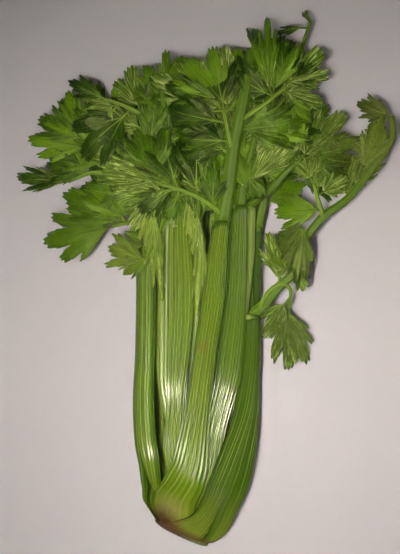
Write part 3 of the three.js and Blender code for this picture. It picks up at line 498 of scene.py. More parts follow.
# More leaves over and among those of the table above: for each frond, which of its stems they grow
# from (0 is the main one) and how they lie.
MORE_LEAVES = {
    "frond_front": [
        (1, long_leaf(0.9, [-34, 64, 81], [-55, 33, 70], roll=176, fold=18)),
        (1, long_leaf(0.35, [0, 66, 81], [-9, 97, 80], roll=178)),
        (1, long_leaf(0.15, [8, 59, 79], [9, 87, 78], spread=1.1, fold=24)),
        (1, broad_leaf(0.85, [-32, 76, 81], [-62, 107, 74], roll=180, spread=0.9)),
        (1, long_leaf(0.75, [-26, 66, 80], [-48, 48, 73], roll=8)),
        (1, plain_leaf(0.6, [-18, 62, 80], [-28, 42, 76], roll=4)),
        (2, long_leaf(0.95, [9, 135, 86], [-30, 145, 77], spread=0.7)),
        (2, broad_leaf(0.9, [14, 136, 85], [-14, 168, 72])),
        (2, long_leaf(0.8, [22, 132, 84], [28, 174, 72])),
        (3, long_leaf(0.6, [54, 144, 86], [66, 181, 74], spread=0.8)),
        (3, long_leaf(0.9, [66, 150, 84], [77, 173, 72])),
        (3, broad_leaf(0.8, [60, 140, 82], [89, 150, 70], roll=178)),
    ],
    "frond_front_right": [
        (0, long_leaf(0.74, [116, 72, 73], [139, 103, 65], roll=180, spread=0.7, fold=30)),
        (0, plain_leaf(0.8, [122, 86, 78], [138, 124, 70], spread=0.75, fold=24)),
        (0, plain_leaf(0.45, [76, 38, 79], [70, -7, 70], roll=-8, spread=0.6, fold=20)),
        (0, long_leaf(0.66, [108, 64, 73], [121, 97, 63], roll=178, spread=0.8)),
        (0, long_leaf(0.45, [74, 34, 72], [64, 6, 62], spread=0.7, fold=24)),
        (0, long_leaf(0.34, [67, 12, 69], [60, 34, 58])),
        (0, long_leaf(0.22, [58, 6, 66], [49, 37, 52], roll=176, spread=0.8)),
        (0, plain_leaf(0.3, [62, 8, 66], [54, 24, 56])),
        (2, long_leaf(0.8, [65, -28, 44], [80, -66, 16], roll=180, spread=0.6)),
    ],
    "frond_inner_front": [
        (0, long_leaf(0.9, [6, 104, 81], [-20, 122, 80], roll=180, spread=0.8)),
        (0, long_leaf(0.9, [8, 100, 81], [12, 123, 81], roll=178)),
        (0, long_leaf(0.8, [-2, 88, 79], [-38, 94, 77], roll=176, fold=36)),
        (0, long_leaf(0.95, [0, 112, 79], [-24, 139, 78], roll=180, spread=0.7, fold=40)),
        (0, long_leaf(0.5, [2, 72, 75], [18, 102, 72])),
        (0, long_leaf(0.45, [-6, 58, 75], [-26, 66, 71], spread=0.9)),
        (0, long_leaf(0.3, [2, 52, 74], [13, 70, 72])),
        (0, plain_leaf(0.3, [-7, 48, 74], [-14, 66, 74], roll=180)),
    ],
    "frond_inner_left": [
        (0, long_leaf(0.5, [-36, 96, 72], [-20, 122, 72])),
        (0, long_leaf(0.4, [-40, 88, 71], [-60, 74, 64])),
        (0, broad_leaf(0.7, [-44, 108, 73], [-66, 120, 68], roll=176)),
        (0, long_leaf(0.85, [-38, 114, 77], [-36, 138, 79], fold=34)),
        (2, long_leaf(0.8, [-42, 20, 72], [-61, 4, 60], spread=0.9)),
        (2, long_leaf(0.5, [-38, 28, 73], [-58, 34, 62])),
    ],
    "frond_left": [
        (0, long_leaf(0.5, [-68, 88, 65], [-66, 122, 62])),
        (0, long_leaf(0.6, [-76, 90, 62], [-116, 98, 46], spread=0.8)),
        (0, long_leaf(0.9, [-92, 112, 60], [-104, 146, 50], spread=0.7, fold=30)),
        (1, broad_leaf(0.5, [-60, 48, 61], [-84, 78, 54])),
        (0, plain_leaf(1, [-86, 139, 57], [-101, 150, 56], spread=0.1)),
        (1, long_leaf(0.3, [-52, 48, 62], [-64, 72, 62])),
    ],
    "frond_front_left": [
        (0, long_leaf(0.2, [-20, 70, 77], [-12, 46, 78], spread=0.8)),
        (0, long_leaf(0.5, [-22, 100, 76], [-6, 118, 74])),
        (0, long_leaf(0.8, [-34, 128, 76], [-52, 146, 70])),
    ],
    "frond_right_upper": [
        (0, long_leaf(0.2, [34, 70, 75], [26, 98, 74], fold=26)),
        (0, plain_leaf(0.3, [36, 76, 78], [46, 58, 72])),
        (0, broad_leaf(0.4, [42, 96, 79], [72, 142, 82], roll=180, spread=0.6, fold=20)),
        (0, long_leaf(0.8, [48, 140, 74], [42, 186, 64], spread=0.6)),
    ],
    "frond_inner_right": [
        (0, broad_leaf(0.9, [78, 94, 75], [92, 124, 66], roll=176)),
        (0, broad_leaf(0.9, [82, 90, 71], [106, 72, 60], roll=178, spread=0.9)),
        (0, long_leaf(0.5, [58, 70, 68], [44, 92, 66])),
    ],
    "frond_right": [
        (1, plain_leaf(0.95, [82, 200, 53], [76, 203, 51])),
    ],
}


# ------------------------------------------------------------------ small helpers


def linear(code):
    """An sRGB hex colour as linear red, green, blue and alpha."""
    parts = [int(code[i : i + 2], 16) / 255 for i in (0, 2, 4)]
    return tuple(c / 12.92 if c <= 0.04045 else ((c + 0.055) / 1.055) ** 2.4 for c in parts) + (1.0,)


def lerp(a, b, share):
    return a + (b - a) * share


def clamp(value, low=0.0, high=1.0):
    return max(low, min(high, value))


def smooth(value):
    """0 to 1 with no sharp start or end."""
    share = clamp(value)
    return share * share * (3 - 2 * share)


def keyed(rows, column, y):
    """A column of a table at y: a cubic that never overshoots the rows on either side."""
    last = len(rows) - 1
    if y <= rows[0][0]:
        return rows[0][column]
    if y >= rows[last][0]:
        return rows[last][column]

    def slope(i):
        return (rows[i + 1][column] - rows[i][column]) / (rows[i + 1][0] - rows[i][0])

    def tangent(i):
        if i in (0, last):
            return 0
        before, after = slope(i - 1), slope(i)
        return 0 if before * after <= 0 else 2 * before * after / (before + after)

    i = 0
    while rows[i + 1][0] < y:
        i += 1
    span = rows[i + 1][0] - rows[i][0]
    t = (y - rows[i][0]) / span
    rise = rows[i + 1][column] - rows[i][column]
    lean = (1 - t) * (tangent(i) - rise / span) - t * (tangent(i + 1) - rise / span)
    return rows[i][column] + rise * t + t * (1 - t) * span * lean


def bundle_at(y):
    """The bundle's middle in x and z, half width and flatness at y."""
    x, half, flat, z = (keyed(BUNDLE, column, y) for column in (1, 2, 3, 4))
    return x, z, half, flat


def skew_at(x, y):
    """How far a point at x is moved along Y by the slanting cut of the foot."""
    return -FOOT_SKEW * (x - FOOT_PIVOT) * smooth((SKEW_FROM - y) / SKEW_SPAN)


def in_bundle(section, y, angle, depth):
    """A point at an angle round the bundle, so deep under its outside."""
    middle, z, half, flat = section
    x = middle + (half - depth) * math.cos(angle)
    up = (half * flat - depth) * math.sin(angle)
    return Vector((x, y + skew_at(x, y), z + up))


# ------------------------------------------------------------------ meshes


def new_mesh():
    bm = bmesh.new()
    for name in LAYERS:
        bm.verts.layers.float.new(name)
    return bm


def grid(columns, rows):
    """A flat sheet whose x and y run from -1 to 1."""
    bm = new_mesh()
    bmesh.ops.create_grid(bm, x_segments=columns, y_segments=rows, size=1)
    return bm


def lengthen(bm, cuts):
    """Divides the long edges of a cone, so that it can be bent."""
    rising = [e for e in bm.edges if abs(e.verts[0].co.z - e.verts[1].co.z) > 1]
    bmesh.ops.subdivide_edges(bm, edges=rising, cuts=cuts, use_grid_fill=True)


def note(bm, vert, **values):
    """Writes the values that the materials read at a vertex."""
    for name, value in values.items():
        vert[bm.verts.layers.float[name]] = value


def gather(total, bm, material=0, keep=False):
    """Adds a finished shape to the mesh of its piece, with its faces pointing out."""
    bmesh.ops.recalc_face_normals(bm, faces=bm.faces[:])
    for face in bm.faces:
        face.smooth = True
        if not keep:
            face.material_index = material
    mesh = bpy.data.meshes.new("shape")
    bm.to_mesh(mesh)
    bm.free()
    total.from_mesh(mesh)
    bpy.data.meshes.remove(mesh)


def finish_piece(name, bm, materials, slot, *nodes):
    """Makes an object of a mesh in millimetres, to stand for CAD nodes and ride with them."""
    bmesh.ops.scale(bm, vec=(MM, MM, MM), verts=bm.verts[:])
    mesh = bpy.data.meshes.new(name)
    bm.to_mesh(mesh)
    bm.free()
    for material in materials:
        mesh.materials.append(material)
    piece = bpy.data.objects.new(name, mesh)
    bpy.context.scene.collection.objects.link(piece)
    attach(piece, BODY)
    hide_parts(*nodes)
    return piece


# A stem's path: a smooth curve through given points.
class Path:
    def __init__(self, points):
        self.points = [Vector(p) for p in points]

    def at(self, share):
        """The point a share of the way through the list of points."""
        pts = self.points
        place = clamp(share) * (len(pts) - 1)
        i = min(int(place), len(pts) - 2)
        t = place - i
        p1, p2 = pts[i], pts[i + 1]
        p0 = pts[i - 1] if i > 0 else p1 * 2 - p2
        p3 = pts[i + 2] if i + 2 < len(pts) else p2 * 2 - p1
        d0, d1, d2 = (max(1e-4, (b - a).length) ** 0.5 for a, b in ((p0, p1), (p1, p2), (p2, p3)))
        m1 = ((p1 - p0) / d0 - (p2 - p0) / (d0 + d1) + (p2 - p1) / d1) * d1
        m2 = ((p2 - p1) / d1 - (p3 - p1) / (d1 + d2) + (p3 - p2) / d2) * d1
        cubic = (p1 - p2) * 2 + m1 + m2
        square = (p2 - p1) * 3 - m1 * 2 - m2
        return p1 + m1 * t + square * t * t + cubic * t * t * t

    def tangent(self, share):
        step = 0.01
        return (self.at(share + step) - self.at(share - step)).normalized()

    def length(self):
        return sum((b - a).length for a, b in zip(self.points, self.points[1:]))


def rod(path, size, sides, steps, flutes=0, square_start=False, tone=0.5):
    """A closed rod along a path. size(share) gives its half width and half height."""
    bm = new_mesh()
    bmesh.ops.create_cone(bm, cap_ends=True, segments=sides, radius1=1, radius2=1, depth=2)
    lengthen(bm, steps - 1)
    length = path.length()
    for vert in bm.verts:
        share = (vert.co.z + 1) / 2
        turn = math.atan2(vert.co.y, vert.co.x)
        tangent = Vector((0, 1, 0)) if square_start and share < 1e-4 else path.tangent(share)
        side = tangent.cross(UP)
        if side.length < 0.2:
            side = Vector((1, 0, 0))
        side.normalize()
        up = side.cross(tangent)
        wide, high = size(share)
        ridge = 0.5 + 0.5 * math.cos(flutes * turn) if flutes else 0.6
        groove = 1 - 0.1 * (1 - ridge) if flutes else 1
        off = side * (wide * groove * math.cos(turn)) + up * (high * groove * math.sin(turn))
        vert.co = path.at(share) + off
        vert.co.z = max(vert.co.z, 0.2)
        note(bm, vert, across=turn * wide, along=share * length, ridge=ridge, tone=tone, under=0)
    return bm


# ------------------------------------------------------------------ stalks


def flare_of(left, right):
    return clamp((left - right - 0.8) / 1.2)


def rib_mask(u, ribs, seed):
    """1 on the crest of a rib and 0 in the channels between, at u from -1 to 1 across the stalk."""
    place = (u + 1) / 2 * ribs
    number = math.floor(place)
    off = (place - number - 0.5) * 2
    strength = 0.8 + 0.2 * math.sin(2.4 * number + 1.7 * seed)
    return (0.5 + 0.5 * math.cos(math.pi * off)) ** 1.2 * strength


def eased(course, column, y):
    """A column of a stalk's course with its bends softened, but less so at the foot."""
    step = lerp(1, 13, smooth((y + 186) / 52))
    return sum(keyed(course, column, y + step * share) for share in (-1, -0.35, 0.35, 1)) / 4


def stalk_point(course, u, y, inner, ribs, height, seed):
    """A point on a stalk's outer or inner face, and how far up a rib it is."""
    section = bundle_at(y)
    half = section[2]
    left = math.radians(eased(course, 1, y))
    right = math.radians(eased(course, 2, y))
    depth = eased(course, 3, y) * LAYER_SHARE * half
    wall = WALL_SHARE * half * (1 - FLARE_THINNING * flare_of(left, right))
    crown = CROWN * min(1, half / 45)
    edge = smooth((abs(u) - 1 + EDGE_ROUND) / EDGE_ROUND)
    mask = rib_mask(u, ribs, seed)
    if inner:
        under = wall * (1 - 0.34 * edge * edge)
    else:
        under = crown * u * u + height * min(1, wall / 7) * (1 - mask) + wall * 0.36 * edge * edge
    reach = u * (1 - 0.03 * inner)
    angle = (left + right) / 2 - reach * (left - right) / 2
    point = in_bundle(section, y, angle, depth + under)
    point.z = max(point.z, 0.05)
    return point, mask


def stalk_mesh(name, settings, seed):
    """One stalk: a sheet bent to its outer face and drawn through to its hollow inner face."""
    course = STALKS[name]
    seen = name in SEEN_STALKS
    ribs = settings.ribs if seen else settings.hidden_ribs
    columns, rows = (ribs * 9, 84) if seen else (ribs * 6, 44)
    start, end = course[0][0], course[-1][0]
    bm = grid(columns, rows)
    places = {}
    for vert in bm.verts:
        share = (vert.co.y + 1) / 2
        places[vert.index] = (vert.co.x, lerp(start, end, share**1.25))
    outer = bm.verts[:]
    made = bmesh.ops.extrude_face_region(bm, geom=bm.faces[:])
    inner = [v for v in made["geom"] if isinstance(v, bmesh.types.BMVert)]
    bm.verts.ensure_lookup_table()
    height = settings.rib_height / MM
    # Painted shade in part: the listed stalks take their darkness from the table above, the right-hand
    # ones darkest.
    tone = STALK_TONE_AND_SHADE.get(name, random.Random(seed).random())
    spots = {(round(v.co.x, 5), round(v.co.y, 5)): places[v.index] for v in outer}
    for verts, is_inner in ((outer, 0), (inner, 1)):
        for vert in verts:
            u, y = spots[(round(vert.co.x, 5), round(vert.co.y, 5))]
            point, mask = stalk_point(course, u, y, is_inner, ribs, height, seed)
            swell = JOINT_SWELL * math.exp(-(((y - end + 3) / 2.2) ** 2)) * (1 - is_inner)
            x, z, _, _ = bundle_at(y)
            out = Vector((point.x - x, 0, point.z - z)).normalized()
            vert.co = point + out * swell
            note(bm, vert, across=u * STRING_SPREAD, along=y - FOOT_Y, tone=tone, under=is_inner)
            # The edge value rises towards the stalk's sides, where the skin paints shade, and peaks in
            # the pale ring at the joint.
            ring = 2 * math.exp(-(((y - end + 1.5) / 2) ** 2)) * (1 - is_inner)
            note(bm, vert, ridge=mask * (1 - is_inner), edge=u * u + ring)
    return bm


# ------------------------------------------------------------------ leaflets


def rim_reach(half, degrees):
    """How far a leaflet's rim stands from its base at an angle from the midrib."""
    for (a0, r0), (a1, r1) in zip(half, half[1:]):
        if degrees <= a1:
            return lerp(r0, r1, (degrees - a0) / (a1 - a0))
    return half[-1][1]


class Blade:
    """Where a leaflet lies, and its own surface over its flat outline."""

    def __init__(self, row, base):
        self.base = base
        self.along = Vector(row["tip"]) - base
        self.length = self.along.length
        self.along.normalize()
        self.side = UP.cross(self.along).normalized()
        self.side.rotate(Matrix.Rotation(math.radians(row.get("roll", 0)), 3, self.along))
        self.up = self.along.cross(self.side)
        self.phase = row["base"][0] + row["tip"][1]
        self.fold = math.radians(row.get("fold", 12))
        self.arch = row.get("arch", 0.08) * self.length
        self.spread = row.get("spread", 1) * TRIM.get(tuple(row["tip"]), 1)
        self.curl = row.get("curl", 0.04)
        self.half = LOBES[row.get("kind", "long")]

    def height(self, u, v):
        reach = math.hypot(u, v) / self.length
        turn = math.atan2(v, u)
        arch = 4 * self.arch * (u / self.length) * (1 - u / self.length)
        lift = (math.sqrt(v * v + 4) - 2) * math.sin(self.fold)
        wave = 1.5 * RUFFLE * reach**2 * math.sin(5 * turn + self.phase)
        gutter = LOBE_BEND * reach**1.2 * math.cos((8 + self.phase % 5) * turn / self.spread)
        crinkle = CRINKLE * reach**3 * math.sin(19 * turn + 2.3 * self.phase)
        droop = -self.curl * self.length * reach**3
        return arch + lift + wave + gutter + crinkle + droop

    def point(self, u, v, lift=0.0):
        place = self.base + self.along * u + self.side * (v * math.cos(self.fold))
        return place + self.up * (self.height(u, v) + lift)

    def rim(self, degrees):
        """Distance from base to rim at an angle, with the small teeth of the edge."""
        step = degrees * self.length * self.spread / TOOTH_RUN + self.phase
        tooth = 1 - abs(step % 1 * 2 - 1)
        depth = TOOTH * (0.7 + 0.6 * math.sin(1.9 * math.floor(step) + self.phase) ** 2)
        uneven = 0.05 * math.sin(degrees * 0.11 + self.phase)
        reach = rim_reach(self.half, abs(degrees)) * (1 + uneven)
        return self.length * reach - depth * (1 - tooth) * min(1, self.length / 35)


def blade_mesh(blade, tone, rays, rings):
    """A leaflet's blade: a sheet bent to a lobed fan, then given its thickness."""
    bm = grid(rays, rings)
    widest = blade.half[-1][0]
    for vert in bm.verts:
        ray, ring = vert.co.x, (vert.co.y + 1) / 2
        degrees = ray * widest
        reach = blade.rim(degrees) * ring
        turn = math.radians(degrees) * blade.spread
        u = reach * math.cos(turn)
        v = reach * math.sin(turn) + NECK / 2 * ray * (1 - ring)
        vein = 0.0
        for centre, width in VEINS:
            off = reach * math.sin(math.radians(degrees - centre) * blade.spread)
            taper = width * (1 - 0.6 * ring)
            vein = max(vein, math.exp(-((off / taper) ** 2)) * (1 - 0.7 * ring))
        vert.co = blade.point(u, v, -0.25 * vein)
        vert.co.z = max(vert.co.z, BLADE / 2)
        note(bm, vert, across=degrees * blade.spread, along=reach, ridge=vein, tone=tone, under=0)
    bm.normal_update()
    flip = sum(face.normal.dot(blade.up) for face in bm.faces) < 0
    if flip:
        bmesh.ops.reverse_faces(bm, faces=bm.faces[:])
    bm.normal_update()
    shifts = {tuple(vert.co): vert.normal * -BLADE for vert in bm.verts}
    made = bmesh.ops.extrude_face_region(bm, geom=bm.faces[:])
    for vert in made["geom"]:
        if isinstance(vert, bmesh.types.BMVert):
            vert.co += shifts[tuple(vert.co)]
            note(bm, vert, under=1)
    return bm


def leaflet(total, row, start, seed, faces=LEAF_FACES, tone=None):
    """A leaflet with its small stem and the raised ribs on its underside."""
    base = Vector(row["base"])
    if (start - base).length < NECK_LENGTH:
        base = start + (Vector(row["tip"]) - start).normalized() * NECK_LENGTH
    blade = Blade(row, base)
    tone = random.Random(seed).random() if tone is None else tone
    gather(total, blade_mesh(blade, tone, *faces))
    for centre, width in VEINS[:3]:
        turn = math.radians(centre) * blade.spread
        far = 0.72 * blade.rim(centre)
        places = [0.02, 0.25, 0.5, 0.75, 1]
        line = [blade.point(s * far * math.cos(turn), s * far * math.sin(turn), -0.4) for s in places]
        thick, thin = (width, 0.16) if centre == 0 else (0.7 * width, 0.12)
        if centre == 0:
            line.insert(0, start)
        shape = rod(Path(line), lambda f: (lerp(thick, thin, f),) * 2, 6, len(line) * 2, tone=tone)
        gather(total, shape, material=1)


def in_canopy(x, y):
    """Whether a point lies inside the closed mass of leaves, seen from above."""
    inside = False
    for (x0, y0), (x1, y1) in zip(CANOPY, CANOPY[1:] + CANOPY[:1]):
        if (y0 > y) != (y1 > y) and x < x0 + (x1 - x0) * (y - y0) / (y1 - y0):
            inside = not inside
    return inside


def hidden_leaf(total, rng, start, heading, length):
    """A smaller leaf under the others, grown where it stays inside the mass of leaves."""
    heading = Vector((heading.x, heading.y, 0)).normalized()
    side = UP.cross(heading)
    base = start + heading * rng.uniform(6, 10) - UP * rng.uniform(1, 4)
    tip = base + heading * length - UP * rng.uniform(3, 14)
    tip.z = max(tip.z, 5)
    corners = (tip, tip.lerp(base, 0.3) + side * length * 0.5, tip.lerp(base, 0.3) - side * length * 0.5)
    if not all(in_canopy(corner.x, corner.y) for corner in corners):
        return
    row = {"base": base, "tip": tip, "kind": rng.choice(("broad", "long")), "fold": rng.uniform(6, 30)}
    row["roll"] = rng.choice((0, 0, 180)) + rng.uniform(-22, 22)
    row["curl"] = rng.uniform(0, 0.2)
    row["spread"] = rng.uniform(0.75, 1.1)
    # Mostly the darkest tones: painted shade on the leaves under the others.
    leaflet(total, row, start, rng.random(), SMALL_FACES, rng.choice(HIDDEN_SHADE_TONES))


# ------------------------------------------------------------------ leafy tops


def stalk_top(course):
    """The middle of a stalk's top end."""
    y, left, right, layer = course[-1]
    section = bundle_at(y)
    depth = (layer * LAYER_SHARE + WALL_SHARE / 2) * section[2]
    return in_bundle(section, y, math.radians((left + right) / 2), depth)


def main_size(start):
    wide, high = start

    def size(share):
        shrink = 1 - STEM_TAPER * share
        swell = 1 + 0.1 * math.exp(-((share / 0.02) ** 2))
        return (wide * shrink * swell, high * shrink * swell)

    return size


def slim_size(share):
    return (2 - 0.6 * share, 1.8 - 0.6 * share)


def frond_mesh(spec, top, seed, extra=(), leafy=0):
    """A frond: its stem, its side stems and the leaflets on them."""
    total = new_mesh()
    rng = random.Random(seed)
    path = Path([top, *spec["stem"]])
    steps = 4 * len(path.points)
    gather(total, rod(path, main_size(spec["start"]), 28, steps, 7, True, MAIN_TONE), material=1)
    stems = [(path, spec["leaves"])]
    for branch in spec["branches"]:
        side = Path(branch["stem"])
        gather(total, rod(side, slim_size, 16, 4 * len(side.points), 5, False, SIDE_TONE), material=1)
        stems.append((side, branch["leaves"]))
    for stem, rows in stems:
        for row in rows:
            start = stem.at(min(row["at"], NECK_ROOT))
            leaflet(total, row, start, rng.random())
            heading = Vector(row["tip"]) - Vector(row["base"])
            for turn in (-1, 1)[: 2 if leafy else 0]:
                aside = heading.copy()
                aside.rotate(Matrix.Rotation(math.radians(turn * rng.uniform(28, 62)), 3, UP))
                hidden_leaf(total, rng, start, aside, rng.uniform(0.6, 0.85) * heading.length)
        for i in range(leafy):
            share = lerp(0.15, 0.95, (i + rng.random()) / leafy)
            aside = stem.tangent(share)
            aside.rotate(Matrix.Rotation(math.radians((-1) ** i * rng.uniform(35, 75)), 3, UP))
            hidden_leaf(total, rng, stem.at(share), aside, rng.uniform(30, 50))
    for stem, row in extra:
        leaflet(total, row, stems[stem][0].at(min(row["at"], NECK_ROOT)), rng.random())
    return total


# ------------------------------------------------------------------ heart and root


def heart_mesh(seed):
    """The heart: a pale core that parts into young stems with small crowded leaves."""
    total = new_mesh()
    bm = new_mesh()
    bmesh.ops.create_cone(bm, cap_ends=True, segments=30, radius1=1, radius2=1, depth=2)
    lengthen(bm, 20)
    for vert in bm.verts:
        y = lerp(HEART_CORE[0][0], HEART_CORE[-1][0], (vert.co.z + 1) / 2)
        section = bundle_at(y)
        turn = math.atan2(vert.co.y, vert.co.x)
        share = keyed(HEART_CORE, 1, y) * (1 + 0.06 * math.cos(9 * turn))
        point = in_bundle(section, y, turn, section[2] * (1 - share))
        point.z = lerp(section[1], point.z, section[3])
        vert.co = point
        note(bm, vert, across=turn * 8, along=y - FOOT_Y, ridge=0.5 + 0.5 * math.cos(9 * turn), tone=0.5)
    gather(total, bm, material=1)
    for young in HEART:
        spec = {**young, "stem": young["stem"][1:], "start": (4.6, 4), "branches": []}
        made = frond_mesh(spec, Vector(young["stem"][0]), seed)
        gather(total, made, keep=True)
    for number, row in enumerate(YOUNG_LEAVES):
        leaflet(total, row, Vector(row["base"]), seed + number)
    return total


def root_mesh():
    """The root plate: a low rough disc with a trimmed end, ringed by the scars of old stalks."""
    bm = new_mesh()
    bmesh.ops.create_cone(bm, cap_ends=True, segments=96, radius1=1, radius2=1, depth=2)
    caps = [f for f in bm.faces if len(f.verts) > 4 and f.calc_center_median().z < 0]
    for width in (0.2, 0.2, 0.2, 0.2):
        bmesh.ops.inset_region(bm, faces=caps, thickness=width, use_even_offset=True)
    lengthen(bm, 10)
    rng = random.Random(ROOT_SEED)
    section = bundle_at(FOOT_Y)
    for vert in bm.verts:
        reach = math.hypot(vert.co.x, vert.co.y)
        turn = math.atan2(vert.co.y, vert.co.x)
        share = (1 - vert.co.z) / 2
        flat_end = vert.co.z < -0.99
        y = FOOT_Y - 0.35 - ROOT_DEPTH * share
        across = section[2] * keyed(ROOT_SHARE, 1, share)
        ridge = 0.5 + 0.5 * math.sin(reach * 22 + 1.3 * math.sin(3 * turn))
        rough = 1 + 0.02 * math.sin(23 * turn) + 0.015 * rng.uniform(-1, 1)
        point = in_bundle(section, y, turn, section[2] - across * reach * rough)
        vert.co = point + Vector((0, 0.35 * ridge * flat_end, 0))
        note(bm, vert, across=reach, along=share, ridge=ridge, tone=0.5, under=0)
    return bm


# ------------------------------------------------------------------ materials


def add(tree, kind, settings=(), links=()):
    """Adds one shader node with its settings and plain inputs, and links the rest of its inputs."""
    node = tree.nodes.new("ShaderNode" + kind)
    for key, value in dict(settings).items():
        if isinstance(key, str) and key in node.bl_rna.properties:
            setattr(node, key, value)
        else:
            node.inputs[key].default_value = value
    for key, socket in dict(links).items():
        tree.links.new(socket, node.inputs[key])
    return node


def new_material(name):
    """An empty material: its node tree and its surface shader."""
    material = bpy.data.materials.new(name)
    material.use_nodes = True
    return material, material.node_tree, material.node_tree.nodes["Principled BSDF"]


# Inputs of a colour Mix node.
MIX = {"data_type": "RGBA", "clamp_factor": True}
A, B, MIXED = 6, 7, 2


def layer_values(tree):
    """The values that every vertex carries, as sockets."""
    return {name: add(tree, "Attribute", {"attribute_name": name}).outputs["Fac"] for name in LAYERS}


def stretched(tree, layers, across, along):
    """Coordinates that run with the grain: finer across it than along it."""
    wide = add(tree, "Math", {"operation": "MULTIPLY", 1: across}, {0: layers["across"]})
    long = add(tree, "Math", {"operation": "MULTIPLY", 1: along}, {0: layers["along"]})
    apart = add(tree, "Math", {"operation": "MULTIPLY", 1: TONE_SHIFT}, {0: layers["tone"]})
    links = {"X": wide.outputs[0], "Y": long.outputs[0], "Z": apart.outputs[0]}
    return add(tree, "CombineXYZ", links=links).outputs[0]


def patches(tree, size, low, high, detail=3.0):
    """Soft patches of a real size in mm, from 0 to 1 between two levels of the noise."""
    place = add(tree, "TexCoord").outputs["Object"]
    noise = add(tree, "TexNoise", {"Scale": 1 / (size * MM), "Detail": detail}, {"Vector": place})
    settings = {"From Min": low, "From Max": high, "To Min": 0.0, "To Max": 1.0}
    return add(tree, "MapRange", settings, {"Value": noise.outputs["Fac"]}).outputs[0]


def near(tree, spot, inner, outer):
    """1 within a distance in mm of a spot and 0 beyond another, with a ragged edge."""
    place = add(tree, "TexCoord").outputs["Object"]
    centre = [value * MM for value in spot]
    away = add(tree, "VectorMath", {"operation": "DISTANCE", 1: centre}, {0: place})
    ragged = add(tree, "TexNoise", {"Scale": 1 / (3 * MM), "Detail": 4.0}, {"Vector": place})
    shift = {"operation": "MULTIPLY_ADD", 1: 0.9 * (outer - inner) * MM, 2: 0.0}
    push = add(tree, "Math", shift, {0: ragged.outputs["Fac"]})
    total = add(tree, "Math", {"operation": "ADD"}, {0: away.outputs["Value"], 1: push.outputs[0]})
    settings = {"From Min": outer * MM * 1.3, "From Max": inner * MM * 1.3, "To Min": 0.0, "To Max": 1.0}
    return add(tree, "MapRange", settings, {"Value": total.outputs[0]}).outputs[0]


def tint(tree, factor, first, second):
    """Mixes two colours, each a socket or a fixed colour, by a factor socket."""
    settings, links = dict(MIX), {0: factor}
    for slot, colour in ((A, first), (B, second)):
        if isinstance(colour, bpy.types.NodeSocket):
            links[slot] = colour
        else:
            settings[slot] = colour
    return add(tree, "Mix", settings, links).outputs[MIXED]


def levels(tree, value, low, high, to_low=0.0, to_high=1.0):
    """Maps the span from low to high on to another, and holds it there beyond."""
    settings = {"From Min": low, "From Max": high, "To Min": to_low, "To Max": to_high}
    return add(tree, "MapRange", settings, {"Value": value}).outputs[0]


def marked(tree, colour, marks, strength=1.0):
    """A colour with marks of other colours over it."""
    for spot, inner, outer, shade in marks:
        some = levels(tree, near(tree, spot, inner, outer), 0.0, 1.0, 0.0, strength)
        colour = tint(tree, some, colour, linear(shade))
    return colour


